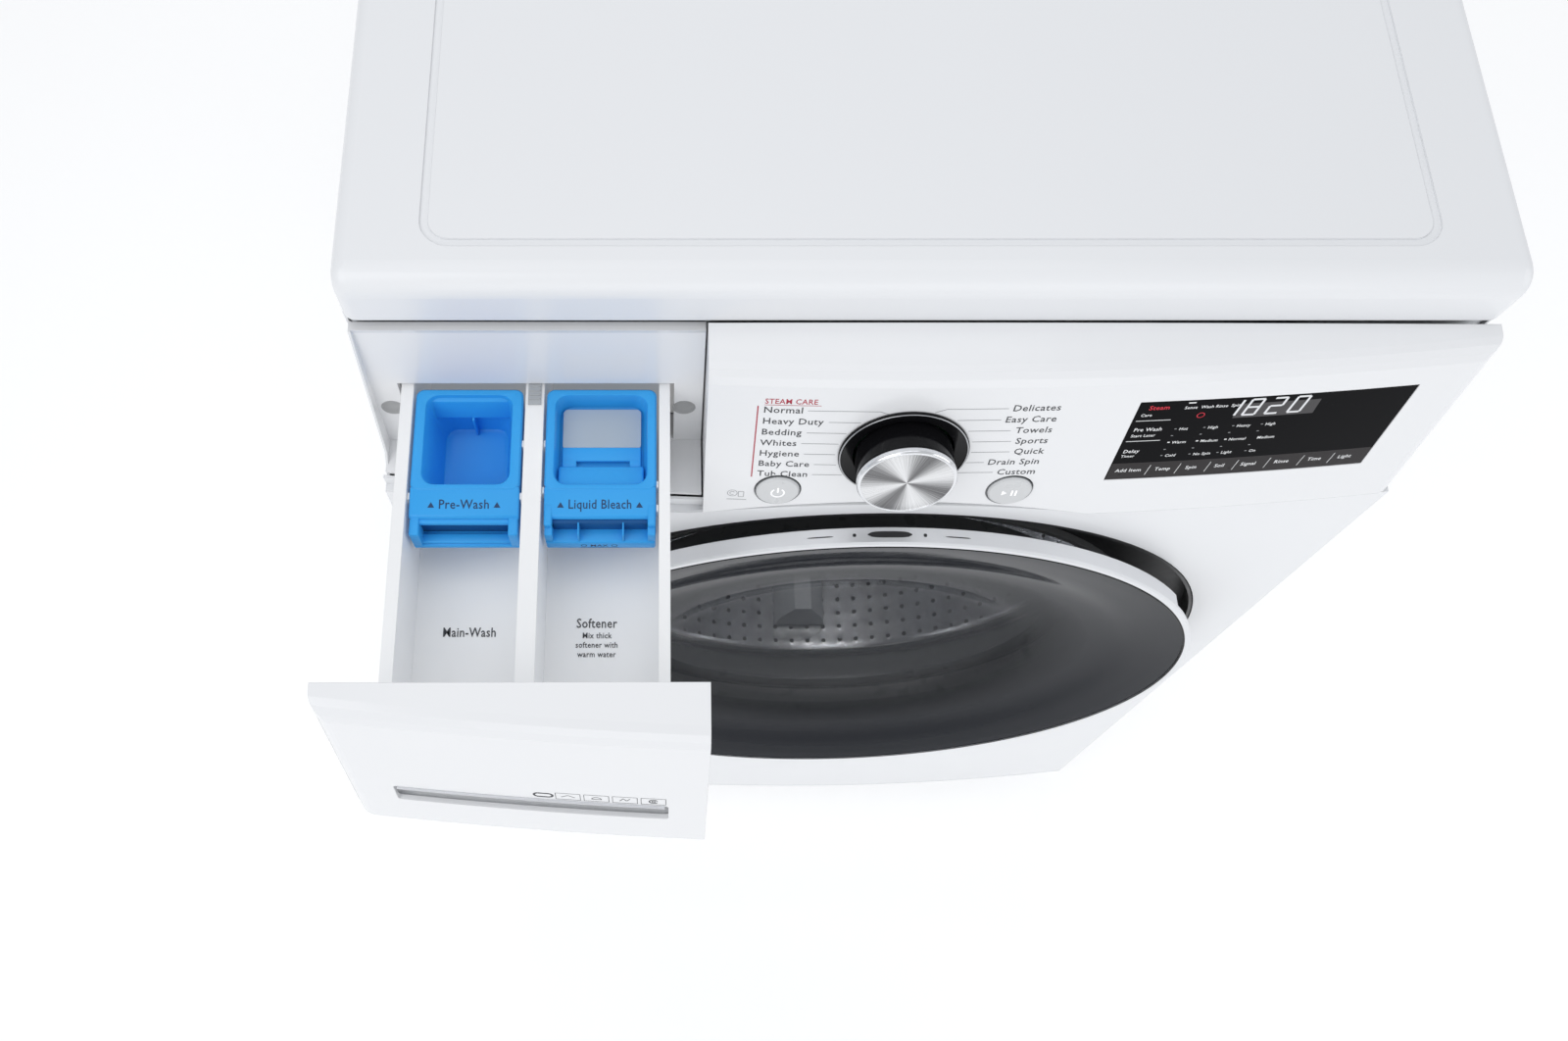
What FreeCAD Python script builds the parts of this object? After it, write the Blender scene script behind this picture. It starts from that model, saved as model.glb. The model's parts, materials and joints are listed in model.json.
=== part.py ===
import FreeCAD, Part
import math
import os

os.makedirs("parts", exist_ok=True)
V = FreeCAD.Vector

# Overall size of the machine. X is to the right, Y to the back, Z up.
half_width = 343.0
height = 991.0
rear_y = 628.0
side_sheet = 1.5
# Every shape is built with Y = 0 at the front edge of the top cover, then moved so the box is centred.
frame_shift_y = -185.25

# Bowed front: vertical axis far behind the machine.
bow_axis_y = 3027.4
fascia_lean = 0.23
fascia_bottom_y = -68.6
fascia_bottom_z = 811.0
fascia_brow_z = 949.0
fascia_top_z = 951.5
fascia_wall = 3.0
arch_radius = 500.0
arch_top_z = 829.0
seam_x = -127.0
panel_lean = 0.0555
panel_top_z = 808.5
panel_top_y = -67.0
panel_bottom_z = 24.0
panel_sheet = 2.0
lid_bottom_z = 952.0

# Drawer.
travel = 218.0
tub_x0 = -319.7
tub_x1 = -148.7
tub_z0 = 828.0
tub_z1 = 886.0
tub_y1 = 330.0
left_room = (-311.8, -240.4)
right_room = (-228.6, -155.7)
wall_lean = 0.12
ledge_z = 822.0
slot_top_z = 888.0
cup_y0 = 109.0
cup_y1 = 208.0

# Control panel.
knob_x = -2.0
knob_z = 880.0
button_z = 841.0
button_gap = 76.0
display_x0 = 134.0
display_x1 = 304.0
display_z0 = 848.0
display_z1 = 924.0

# Service flap.
flap_pin_y = -92.5
flap_pin_z = 63.5
flap_pin_radius = 1.8

# Door and wash unit, built around a tilted axis through the centre of the door.
door_centre = V(0.0, -101.0, 516.0)
door_tilt_deg = 3.0
ring_radius = 294.0
surround_radius = 297.5
hinge_x = -282.0
hinge_y = -82.5
hinge_z0 = 441.0
hinge_pin_radius = 3.2
knuckle_radius = 6.4
tub_radius = 298.0
tub_inner_radius = 290.0
drum_radius = 275.0
drum_front = 98.0
drum_back = 540.0
drum_sheet = 1.2

# Suspension.
damper_radius = 6.0
damper_top = 243.0
spring_y = 410.6
spring_low_z = 743.0
spring_high_z = 917.0

# Levelling feet.
foot_x = 300.0
foot_front_y = 30.0
foot_back_y = 575.0


def box(x0, x1, y0, y1, z0, z1):
    return Part.makeBox(x1 - x0, y1 - y0, z1 - z0, V(x0, y0, z0))


def rod(r, p, axis, length):
    return Part.makeCylinder(r, length, V(*p), V(*axis))


def pipe(r_out, r_in, p, axis, length):
    return rod(r_out, p, axis, length).cut(rod(r_in, p, axis, length))


def fuse(shapes):
    first = shapes[0]
    if len(shapes) == 1:
        return first
    return first.fuse(shapes[1:]).removeSplitter()


def cut(shape, tools):
    return shape.cut(Part.makeCompound(tools))


def rounded(shape, radius, test):
    edges = [e for e in shape.Edges if test(e)]
    return shape.makeFillet(radius, edges)


def is_along(edge, axis):
    if len(edge.Vertexes) != 2 or edge.Curve.TypeId != "Part::GeomLine":
        return False
    d = edge.Vertexes[1].Point.sub(edge.Vertexes[0].Point)
    return abs(getattr(d, axis)) > d.Length - 1e-4


def rounded_box(x0, x1, y0, y1, z0, z1, radius, axis="z"):
    return rounded(box(x0, x1, y0, y1, z0, z1), radius, lambda e: is_along(e, axis))


def face_of(points):
    wire = Part.makePolygon(points + [points[0]])
    return Part.Face(wire)


def lathe(profile):
    """Turns (radius, depth) points about the local Y axis."""
    face = face_of([V(r, w, 0) for r, w in profile])
    return face.revolve(V(0, 0, 0), V(0, 1, 0), 360)


def ring(r_out, r_in, w0, w1):
    return lathe([(r_in, w0), (r_out, w0), (r_out, w1), (r_in, w1)])


def placed(shape):
    """Moves a shape from the tilted wash axis frame to the machine frame."""
    out = shape.copy()
    out.rotate(V(0, 0, 0), V(1, 0, 0), -door_tilt_deg)
    out.translate(door_centre)
    return out


def bowed(profile, x0, x1):
    """Sweeps (y, z) points given at X = 0 about the far vertical axis."""
    face = face_of([V(0, y, z) for y, z in profile])
    axis = V(0, bow_axis_y, 0)
    face.rotate(axis, V(0, 0, 1), -8)
    solid = face.revolve(axis, V(0, 0, 1), 16)
    return solid.common(box(x0, x1, -400, 900, 0, 1100))


def fascia_y(z):
    return fascia_bottom_y + fascia_lean * (z - fascia_bottom_z)


def panel_y(z):
    return panel_top_y - panel_lean * (panel_top_z - z)


def wall_y(z):
    return -wall_lean * (lid_bottom_z - z)


def bow_at(x):
    return x * x / (2 * (bow_axis_y - fascia_bottom_y))


def fascia_normal_pose(shape, x, z):
    """Puts a shape built around the local Y axis (outwards is -Y) on the leaning face."""
    out = shape.copy()
    out.rotate(V(0, 0, 0), V(1, 0, 0), -math.degrees(math.atan(fascia_lean)))
    out.translate(V(x, fascia_y(z) + bow_at(x), z))
    return out


# ---------------------------------------------------------------- cabinet
def top_cover():
    outer = box(-half_width, half_width, 0, rear_y + 4, lid_bottom_z, height)
    outer = rounded(
        outer,
        16,
        lambda e: is_along(e, "x") and e.BoundBox.ZMin > height - 1 and e.BoundBox.YMax < 1,
    )
    outer = rounded(outer, 9, lambda e: is_along(e, "y") and e.BoundBox.ZMin > height - 1)
    inner = box(-half_width + 3, half_width - 3, 3, rear_y + 1, lid_bottom_z - 1, height - 18)
    inner = inner.fuse(box(-half_width + 12, half_width - 12, 18, rear_y + 1, lid_bottom_z, height - 3))
    groove = rounded_box(-293, 293, 25, 590, height - 1.2, height + 1, 18)
    groove = groove.cut(rounded_box(-288, 288, 30, 585, height - 2, height + 2, 13))
    return outer.cut(inner).cut(groove)


def side_panel(sign):
    x0 = sign * half_width
    x1 = sign * (half_width - side_sheet)
    lo = min(x0, x1)
    hi = max(x0, x1)
    plate = box(lo, hi, 6, rear_y, 24, lid_bottom_z - 0.5)
    plate = plate.fuse(face_of([V(lo, 6, 24), V(lo, -36, 24), V(lo, 6, 800)]).extrude(V(hi - lo, 0, 0)))
    inner = sign * (half_width - 18)
    flange = box(min(inner, x1), max(inner, x1), rear_y - 1.5, rear_y, 60, lid_bottom_z - 4)
    bead_x0 = min(x1, x1 - sign)
    bead_x1 = max(x1, x1 - sign)
    beads = [rounded_box(bead_x0, bead_x1, 120, 560, z, z + 60, 12, "x") for z in (180, 760)]
    return fuse([plate, flange] + beads)


def rear_panel():
    sheet = box(-341.2, 341.2, rear_y + 0.2, rear_y + 1.7, 30, lid_bottom_z - 0.5)
    hole = rod(190, (0, rear_y - 5, 478), (0, 1, 0), 20)
    service = [rod(11, (x, rear_y - 5, z), (0, 1, 0), 20) for x in (-235, 235) for z in (250, 720)]
    ports = [rod(14.5, (x, rear_y - 5, 905), (0, 1, 0), 20) for x in (-270, -215)]
    ports.append(rod(15, (-290, rear_y - 5, 120), (0, 1, 0), 20))
    ports.append(box(225, 255, rear_y - 5, rear_y + 15, 870, 892))
    return cut(sheet, [hole] + service + ports)


def rear_cover():
    dish = rod(205, (0, rear_y + 2, 478), (0, 1, 0), 12)
    dish = rounded(dish, 8, lambda e: e.BoundBox.YMin > rear_y + 13)
    dish = dish.cut(rod(186, (0, rear_y + 1.9, 478), (0, 1, 0), 10.1))
    screws = []
    for k in range(6):
        a = math.radians(60 * k + 30)
        screws.append(rod(4.2, (196 * math.cos(a), rear_y + 13, 478 + 196 * math.sin(a)), (0, 1, 0), 3))
    slots = [box(-60, 60, rear_y, rear_y + 20, z, z + 5) for z in range(440, 520, 14)]
    return cut(fuse([dish] + screws), slots)


def base_pan():
    floor = box(-341, 341, -28, rear_y - 1, 26, 29)
    walls = [box(-341, -338.5, 10, rear_y - 1, 29, 58), box(338.5, 341, 10, rear_y - 1, 29, 58)]
    walls.append(box(-338.5, 338.5, rear_y - 4, rear_y - 1, 29, 58))
    walls.append(box(-338.5, 338.5, -28, -25, 29, 44))
    ribs = [box(-325, 325, y, y + 4, 29, 36) for y in (170, 430, 530)]
    sockets = [rod(16, (x, y, 22), (0, 0, 1), 22) for x, y in foot_points()]
    bores = [rod(6.2, (x, y, 10), (0, 0, 1), 60) for x, y in foot_points()]
    return cut(fuse([floor] + walls + ribs + sockets), bores)


def front_panel():
    t = panel_sheet
    skin = bowed(
        [
            (panel_y(panel_bottom_z), panel_bottom_z),
            (panel_top_y, panel_top_z),
            (panel_top_y + 6, panel_top_z),
            (panel_top_y + 6, ledge_z - 4),
            (panel_top_y + 6 + t, ledge_z - 4),
            (panel_top_y + 6 + t, panel_top_z - t),
            (panel_top_y + t, panel_top_z - t),
            (panel_y(panel_bottom_z) + t, panel_bottom_z),
        ],
        -half_width,
        half_width,
    )
    arch = bowed(
        [
            (panel_y(790), 790),
            (panel_y(832), 832),
            (panel_y(832) + t, 832),
            (panel_y(790) + t, 790),
        ],
        -136,
        136,
    )
    arch = arch.common(rod(arch_radius - 1.5, (0, -200, arch_top_z - arch_radius), (0, 1, 0), 400))
    returns = []
    for s in (-1, 1):
        y_top = panel_top_y + bow_at(half_width)
        y_bottom = panel_y(panel_bottom_z) + bow_at(half_width)
        side = face_of(
            [
                V(s * half_width, y_top + 0.5, panel_top_z),
                V(s * half_width, y_bottom + 0.5, panel_bottom_z),
                V(s * half_width, -37.5, panel_bottom_z),
                V(s * half_width, 4.5, 799),
                V(s * half_width, 4.5, panel_top_z),
            ]
        )
        returns.append(side.extrude(V(-s * t, 0, 0)))
    foot = bowed(
        [
            (panel_y(panel_bottom_z), panel_bottom_z),
            (panel_y(panel_bottom_z) + 80, panel_bottom_z),
            (panel_y(panel_bottom_z) + 80, panel_bottom_z + t),
            (panel_y(panel_bottom_z), panel_bottom_z + t),
        ],
        -half_width + 2,
        half_width - 2,
    )
    hole = placed(rod(surround_radius + 2.5, (0, -60, 0), (0, 1, 0), 160))
    flap = box(-290, -170, -200, 0, 54.5, 161)
    body = cut(fuse([skin, arch, foot] + returns), [hole, flap])
    ears = [box(x, x + 3, -93.9, -88, panel_bottom_z, 67) for x in (-268, -195)]
    pins = [rod(flap_pin_radius, (-266, flap_pin_y, flap_pin_z), (-1, 0, 0), 16)]
    pins.append(rod(flap_pin_radius, (-194, flap_pin_y, flap_pin_z), (1, 0, 0), 16))
    return fuse([body] + ears + pins)


def front_crossbar():
    bar = box(-339, 339, 8, 26, 906, 946)
    bar = bar.cut(box(-345, 345, 10, 30, 908, 944))
    ends = [box(-341, -339, 8, 60, 880, 946), box(339, 341, 8, 60, 880, 946)]
    return fuse([bar] + ends)


# ---------------------------------------------------------------- fascia and drawer front
def front_block(x0, x1, inset, bottom_z, back_y):
    """Solid between the leaning face and a back plane, shrunk by inset on the outside."""
    lean_shift = inset * math.sqrt(1 + fascia_lean * fascia_lean)
    top_z = fascia_top_z - inset
    brow_z = fascia_brow_z - inset
    profile = [
        (fascia_y(bottom_z) + lean_shift, bottom_z),
        (fascia_y(brow_z - 9) + lean_shift, brow_z - 9),
        (fascia_y(brow_z - 4) + lean_shift + 1.6, brow_z - 4),
        (fascia_y(brow_z - 1) + lean_shift + 4.6, brow_z - 1),
        (fascia_y(brow_z) + lean_shift + 9, brow_z),
        (back_y, top_z),
        (back_y, bottom_z),
    ]
    return bowed(profile, x0, x1)


def control_fascia():
    x0 = seam_x + 0.6
    x1 = half_width
    outer = front_block(x0, x1, 0, fascia_bottom_z, -1.2)
    outer = rounded(
        outer,
        12,
        lambda e: e.BoundBox.XMin > x1 - 0.1 and e.BoundBox.ZLength > 100 and e.BoundBox.YMin < -30,
    )
    inner = front_block(x0 + fascia_wall, x1 - fascia_wall, fascia_wall, fascia_bottom_z - 5, 20)
    arch = rod(arch_radius, (0, -200, arch_top_z - arch_radius), (0, 1, 0), 400)
    holes = [fascia_normal_pose(rod(36, (0, -20, 0), (0, 1, 0), 40), knob_x, knob_z)]
    for s in (-1, 1):
        button_hole = rod(15.4, (0, -20, 0), (0, 1, 0), 40)
        holes.append(fascia_normal_pose(button_hole, knob_x + s * button_gap, button_z))
    window = box(display_x0, display_x1, -90, -20, display_z0, display_z1)
    shell = outer.cut(inner).cut(arch)
    seat = bowed([(-63.3, 790), (-63.3, 819.5), (60, 819.5), (60, 790)], -half_width, half_width)
    shell = cut(shell, holes + [window, seat])
    clear = box(-half_width - 5, half_width + 5, -1.2, 40, 700, 990)
    return shell.cut(clear)


def back_region(offset, x0, x1):
    """Everything behind the front edge of the recess cheek."""
    points = [(-3.2, 947), (-28.2, 829), (-34.2, ledge_z), (-34.2, 780), (80, 780), (80, 947)]
    face = face_of([V(x0, y + offset, z) for y, z in points])
    return face.extrude(V(x1 - x0, 0, 0))


def wall_region(offset, x0, x1):
    """Everything behind a plane set in front of the recess wall."""
    points = [(wall_y(947), 947), (wall_y(780), 780), (400, 780), (400, 947)]
    face = face_of([V(x0, y + offset, z) for y, z in points])
    return face.extrude(V(x1 - x0, 0, 0))


def drawer_front():
    x0 = -half_width + 0.6
    x1 = seam_x - 0.6
    outer = front_block(x0, x1, 0, 813, 0)
    outer = rounded(
        outer,
        12,
        lambda e: e.BoundBox.XMax < x0 + 0.1 and e.BoundBox.ZLength > 100 and e.BoundBox.YMin < -30,
    )
    inner = front_block(x0 + fascia_wall, x1 - fascia_wall, fascia_wall, 827, 30)
    skirt = front_block(x0 - 5, x1 + 5, fascia_wall, 800, 0).common(box(-400, 0, -200, 50, 790, 824))
    shell = outer.cut(inner).cut(skirt)
    shell = shell.cut(back_region(-1.2, -400, -338.9)).cut(wall_region(-2.0, -400, 0))
    shell = shell.cut(box(-400, 0, -1.5, 60, 940, 1000))
    shell = shell.cut(rounded_box(-312, -150, -120, 0, 843, 862, 2, "y"))
    shell.translate(V(0, -travel, 0))
    return shell.removeSplitter()


def handle_pocket():
    outer = box(-315.5, -146.5, -68, -21, 838, 884)
    inner = box(-313.5, -148.5, -70, -23, 840, 882)
    shell = outer.cut(inner)
    limit = front_block(-345, -100, fascia_wall + 0.4, 800, 0)
    shell = shell.common(limit)
    shell.translate(V(0, -travel, 0))
    return shell


def handle_trim():
    strip = bowed(
        [
            (fascia_y(862) - 1.2, 861.8),
            (fascia_y(862) - 1.2, 858.8),
            (fascia_y(862) + 3.6, 858.8),
            (fascia_y(862) + 3.6, 861.8),
        ],
        -309.8,
        -152.2,
    )
    strip.translate(V(0, -travel, 0))
    return strip


def drawer_tub():
    block = rounded_box(tub_x0, tub_x1, -60, tub_y1, tub_z0, tub_z1, 4)
    block = block.common(wall_region(-5.2, -400, 0))
    plate = wall_region(-5.2, -338.8, -130.7).cut(wall_region(-2.2, -400, 0))
    plate = plate.common(front_block(-339.1, -130.9, fascia_wall + 0.3, 827.4, 0))
    plate = plate.common(box(-400, 0, -200, 0, 827.4, 943))
    rooms = []
    for x0, x1 in (left_room, right_room):
        rooms.append(rounded_box(x0, x1, -10, tub_y1 - 6, tub_z0 + 3, tub_z1 + 5, 6))
    wall_gaps = ((-317.7, -313.8), (-153.7, -150.7), (-238.0, -231.0))
    hollows = [box(x0, x1, -8, tub_y1 - 4, tub_z0 - 1, tub_z1 - 2.5) for x0, x1 in wall_gaps]
    outlet = [box(-300, -252, tub_y1 - 20, tub_y1 + 5, tub_z0 + 3, tub_z0 + 15)]
    siphon = [rod(6, (-192, 285, tub_z0 + 1), (0, 0, 1), 40)]
    body = cut(block.fuse(plate), rooms + hollows + outlet)
    body = fuse([body] + siphon)
    body = body.cut(rod(2.5, (-192, 285, tub_z0 - 5), (0, 0, 1), 40))
    body.translate(V(0, -travel, 0))
    return body


def release_tab():
    tab = box(-238.6, -230.4, 196, 216, tub_z1 + 0.1, tub_z1 + 1.4)
    ribs = [box(-238, -231, y, y + 1, tub_z1 + 1.4, tub_z1 + 2.0) for y in (199, 202, 205, 208)]
    out = fuse([tab] + ribs)
    out.translate(V(0, -travel, 0))
    return out


def cup_shell(x0, x1, depth):
    """Open box whose front end carries a sloping apron and a finger loop."""
    z1 = tub_z1 - 1.0
    outer = rounded_box(x0, x1, cup_y0 + 30, cup_y1, z1 - depth, z1, 5)
    inner = rounded_box(x0 + 7, x1 - 7, cup_y0 + 32, cup_y1 - 4, z1 - depth + 2.5, z1 + 5, 8)
    apron = face_of(
        [
            V(x0, cup_y0 + 30.5, z1),
            V(x0, cup_y0 + 12, z1 - 1.5),
            V(x0, cup_y0 + 12, z1 - 5),
            V(x0, cup_y0 + 30.5, z1 - 5),
        ]
    ).extrude(V(x1 - x0, 0, 0))
    loop = box(x0, x1, cup_y0, cup_y0 + 12, z1 - 26, z1 - 2)
    loop = loop.cut(box(x0 + 5, x1 - 5, cup_y0 - 1, cup_y0 + 7, z1 - 21, z1 - 8))
    loop = loop.cut(box(x0 + 5, x1 - 5, cup_y0 + 9, cup_y0 + 20, z1 - 30, z1 - 5))
    return fuse([outer, apron, loop]), inner


def prewash_cup():
    shell, inner = cup_shell(left_room[0] + 1.6, left_room[1] - 1.6, 46)
    rib = box(-277, -275.6, cup_y1 - 20, cup_y1 - 4, tub_z1 - 30, tub_z1 - 12)
    out = shell.cut(inner).fuse(rib)
    out.translate(V(0, -travel, 0))
    return out.removeSplitter()


def bleach_cup():
    shell, inner = cup_shell(right_room[0] + 1.6, right_room[1] - 1.6, 46)
    z1 = tub_z1 - 1.0
    x0 = right_room[0] + 8.4
    x1 = right_room[1] - 8.4
    bridge = box(x0, x1, cup_y0 + 42, cup_y0 + 56, z1 - 12, z1 - 9)
    bridge = bridge.cut(box(-208, -176, cup_y0 + 44, cup_y0 + 47, z1 - 20, z1))
    posts = [box(x, x + 2, cup_y0 + 42, cup_y0 + 88, z1 - 14, z1 - 11.9) for x in (x0, x1 - 2)]
    out = fuse([shell.cut(inner), bridge] + posts)
    out.translate(V(0, -travel, 0))
    return out


def bleach_window():
    pane = box(right_room[0] + 9, right_room[1] - 9, cup_y0 + 57, cup_y0 + 87, tub_z1 - 12.6, tub_z1 - 11.2)
    pane.translate(V(0, -travel, 0))
    return pane


def recess_frame():
    x0 = -340.9
    x1 = seam_x - 0.4
    wall = face_of(
        [
            V(x0, wall_y(ledge_z), ledge_z),
            V(x0, wall_y(940), 940),
            V(x0, wall_y(940) - 1.0, 944.5),
            V(x0, wall_y(940) + 5, 944.5),
            V(x0, wall_y(ledge_z) + 3, ledge_z),
        ]
    ).extrude(V(x1 - x0, 0, 0))
    ledge = bowed([(-58, ledge_z - 3), (-58, ledge_z), (5, ledge_z), (5, ledge_z - 3)], x0, x1)
    ledge = ledge.common(box(x0, x1, -80, 4, ledge_z - 3, ledge_z))
    cheek = face_of(
        [
            V(x0, -3.4, 944.5),
            V(x0, -28, 829),
            V(x0, -34, ledge_z),
            V(x0, 4, ledge_z),
            V(x0, 4, 944.5),
        ]
    ).extrude(V(1.6, 0, 0))
    slot = box(tub_x0 - 2.5, tub_x1 + 2.5, -60, 40, ledge_z + 1.5, slot_top_z)
    pockets = [rod(7.0, (x, -20, 861), (0, 1, 0), 40) for x in (-330.0, -139.5)]
    return cut(fuse([wall, ledge, cheek]), [slot] + pockets)


def recess_screws():
    parts = []
    for x in (-330.0, -139.5):
        head = rod(6.6, (x, -5, 861), (0, 1, 0), 3).fuse(rod(2.4, (x, -3, 861), (0, 1, 0), 14))
        cross = box(x - 2.5, x + 2.5, -5.5, -3.8, 860.5, 861.5)
        cross = cross.fuse(box(x - 0.5, x + 0.5, -5.5, -3.8, 858.5, 863.5))
        parts.append(head.cut(cross))
    return Part.makeCompound(parts)


def dispenser_housing():
    outer = box(tub_x0 - 4.5, tub_x1 + 4.5, 4.2, 352, 823.4, 903)
    inner = box(tub_x0 - 2.5, tub_x1 + 2.5, 0, 350, 825.4, 893)
    water_room = box(tub_x0, tub_x1, 60, 348, 895, 901)
    jets = [rod(1.5, (x, y, 890), (0, 0, 1), 8) for x in (-290, -262, -206, -178) for y in (120, 160, 200)]
    lugs = [box(-336, -324, 4.5, 20, 855, 867), box(-144.5, -133, 4.5, 20, 855, 867)]
    body = fuse([outer] + lugs)
    body = cut(body, [inner, water_room] + jets)
    screws = [rod(2.6, (x, 0, 861), (0, 1, 0), 15) for x in (-330.0, -139.5)]
    nozzles = [pipe(6, 4, (x, 352, 897), (0, 1, 0), 18) for x in (-270, -215)]
    outlet = pipe(14, 11, (-200, 320, 799), (0, 0, 1), 26)
    drain = rod(11, (-200, 320, 790), (0, 0, 1), 40)
    return cut(fuse([body, outlet] + nozzles), screws + [drain])


# ---------------------------------------------------------------- control panel parts
def knob_bezel():
    face = [(33, -1.5), (40, -2.2), (41, -0.7), (41, -0.1)]
    neck = [(35.6, -0.1), (35.6, 8.0), (24, 8.0), (24, 6.0), (29, 4.5)]
    cone = lathe(face + neck)
    return fascia_normal_pose(cone, knob_x, knob_z)


def knob_cap():
    shell = lathe([(0, -24), (29, -24), (31, -22), (31, -2.6), (28.5, -2.6), (28.5, -21), (0, -21)])
    core = lathe([(3.03, -21.2), (8, -21.2), (8, 4.5), (22, 5.2), (22, 7), (3.03, 7)])
    webs = [box(7.5, 28.8, -21.2, -6, -1, 1), box(-28.8, -7.5, -21.2, -6, -1, 1)]
    webs += [box(-1, 1, -21.2, -6, 7.5, 28.8), box(-1, 1, -21.2, -6, -28.8, -7.5)]
    return fascia_normal_pose(fuse([shell, core] + webs), knob_x, knob_z)


def panel_board():
    board = box(-95, 92, 19.2, 20.8, -62, 26)
    encoder = fuse([rod(3, (0, -12, 0), (0, 1, 0), 24), box(-9, 9, 12, 19.2, -9, 9)])
    parts = [fascia_normal_pose(board, knob_x, knob_z), fascia_normal_pose(encoder, knob_x, knob_z)]
    for s in (-1, 1):
        switch = fuse([box(-5, 5, 14, 22.2, -5, 5), rod(2, (0, 11, 0), (0, 1, 0), 4)])
        parts.append(fascia_normal_pose(switch, knob_x + s * button_gap, button_z))
    return fuse(parts)


def push_button(side):
    cap = lathe([(0, -2.0), (13.2, -2.0), (14.2, -1.0), (14.2, 6.0), (12.4, 6.0), (12.4, 0.0), (0, 0.0)])
    stem = rod(3, (0, -0.5, 0), (0, 1, 0), 9)
    return fascia_normal_pose(cap.fuse(stem), knob_x + side * button_gap, button_z)


def display_window():
    pane = bowed(
        [
            (fascia_y(display_z0 + 0.4) + 0.2, display_z0 + 0.4),
            (fascia_y(display_z1 - 0.4) + 0.2, display_z1 - 0.4),
            (fascia_y(display_z1 - 0.4) + 2.6, display_z1 - 0.4),
            (fascia_y(display_z0 + 0.4) + 2.6, display_z0 + 0.4),
        ],
        display_x0 + 0.4,
        display_x1 - 0.4,
    )
    return pane


def main_board_box():
    outer = rounded_box(215, 325, 440, 598, 880, 938, 6)
    inner = rounded_box(217.5, 322.5, 442.5, 595.5, 882.5, 940, 4)
    lid = box(213, 327, 438, 600, 938, 940.5)
    slots = [box(235, 305, y, y + 4, 930, 945) for y in range(460, 580, 20)]
    return cut(fuse([outer.cut(inner), lid]), slots)


# ---------------------------------------------------------------- door
def door_surround():
    r = surround_radius
    tray = lathe(
        [
            (r - 1, 13),
            (r + 1.6, 13),
            (r + 1.6, 52),
            (256, 52),
            (256, 58),
            (252, 58),
            (252, 49.5),
            (r - 1, 49.5),
        ]
    )
    shell = placed(tray)
    front = bowed([(panel_y(100) + 0.3, 100), (panel_y(830) + 0.3, 830), (40, 830), (40, 100)], -320, 320)
    shell = shell.common(front)
    hinge_gap = box(hinge_x - 7, hinge_x + 2, -72, 40, hinge_z0 + 22, hinge_z0 + 68)
    lock_gap = placed(box(265.5, 285.5, 40, 60, -13, 13))
    return cut(shell, [hinge_gap, lock_gap])


def door_ring():
    band = lathe([(288, -1.2), (292.8, -1.2), (ring_radius, 0.2), (ring_radius, 11), (288, 11)])
    grip = placed(box(240, 320, 2.5, 20, 60, 175))
    return placed(band).cut(grip)


def door_glass():
    pane = lathe(
        [
            (0, 29),
            (150, 28),
            (176, 20),
            (212, 16),
            (250, 7),
            (287.6, -0.6),
            (287.6, 2.6),
            (250, 10.4),
            (213, 19.4),
            (178, 23.4),
            (151, 31.4),
            (0, 32.4),
        ]
    )
    return placed(pane)


def door_back_frame():
    plate = lathe(
        [
            (287.4, 3.6),
            (287.4, 12),
            (262, 16),
            (230, 23),
            (217, 43),
            (214, 62),
            (188, 62),
            (188, 58),
            (206, 56),
            (209.5, 40),
            (221, 18.2),
            (250, 11.4),
            (262, 9.8),
        ]
    )
    grip = box(252, 300, -5, 30, 62, 172)
    hinge_room = box(hinge_x - 14, hinge_x + 34, hinge_y - 7.5, hinge_y + 60, 437, 535)
    return cut(placed(plate.cut(grip)), [hinge_room])


def door_bowl():
    bowl = lathe(
        [
            (205, 53),
            (205, 55.6),
            (187.4, 57.6),
            (184, 64),
            (178, 110),
            (160, 138),
            (120, 148),
            (0, 150),
            (0, 145.5),
            (118, 143.6),
            (156.5, 134.6),
            (173.5, 108),
            (179.5, 63),
            (184, 53),
        ]
    )
    return placed(bowl)


def latch_hook():
    base = box(262, 284, 16.4, 20, -20, 20)
    arm = box(268, 276, 20, 66, -8, 8)
    nose = box(276, 280.5, 60, 66, -8, 8)
    window = box(270, 274, 34, 52, -12, 12)
    return placed(fuse([base, arm, nose]).cut(window))


def hinge_arm():
    knuckles = []
    for z in (hinge_z0, hinge_z0 + 66):
        knuckle = rod(knuckle_radius, (hinge_x, hinge_y, z), (0, 0, 1), 24)
        tongue = box(hinge_x, hinge_x + 33, hinge_y + 1.0, hinge_y + 6.0, z, z + 24)
        knuckles.append(knuckle.fuse(tongue))
    plate = box(hinge_x + 18, hinge_x + 33, hinge_y + 1.0, hinge_y + 6.0, hinge_z0, hinge_z0 + 90)
    bore = rod(hinge_pin_radius + 0.05, (hinge_x, hinge_y, hinge_z0 - 5), (0, 0, 1), 110)
    return fuse(knuckles + [plate]).cut(bore)


def hinge_bracket():
    low = hinge_z0 + 24.6
    high = hinge_z0 + 65.4
    knuckle = rod(knuckle_radius, (hinge_x, hinge_y, low), (0, 0, 1), high - low)
    neck = box(hinge_x - 5.5, hinge_x + 0.5, hinge_y, -40, low, high)
    plate = box(-324, hinge_x + 9, -43, -40, hinge_z0 + 4, hinge_z0 + 86)
    spacer = box(-324, -307, -61, -43, hinge_z0 + 4, hinge_z0 + 86)
    pin = rod(hinge_pin_radius, (hinge_x, hinge_y, hinge_z0 - 2), (0, 0, 1), 94)
    return fuse([knuckle, neck, plate, spacer, pin])


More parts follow.
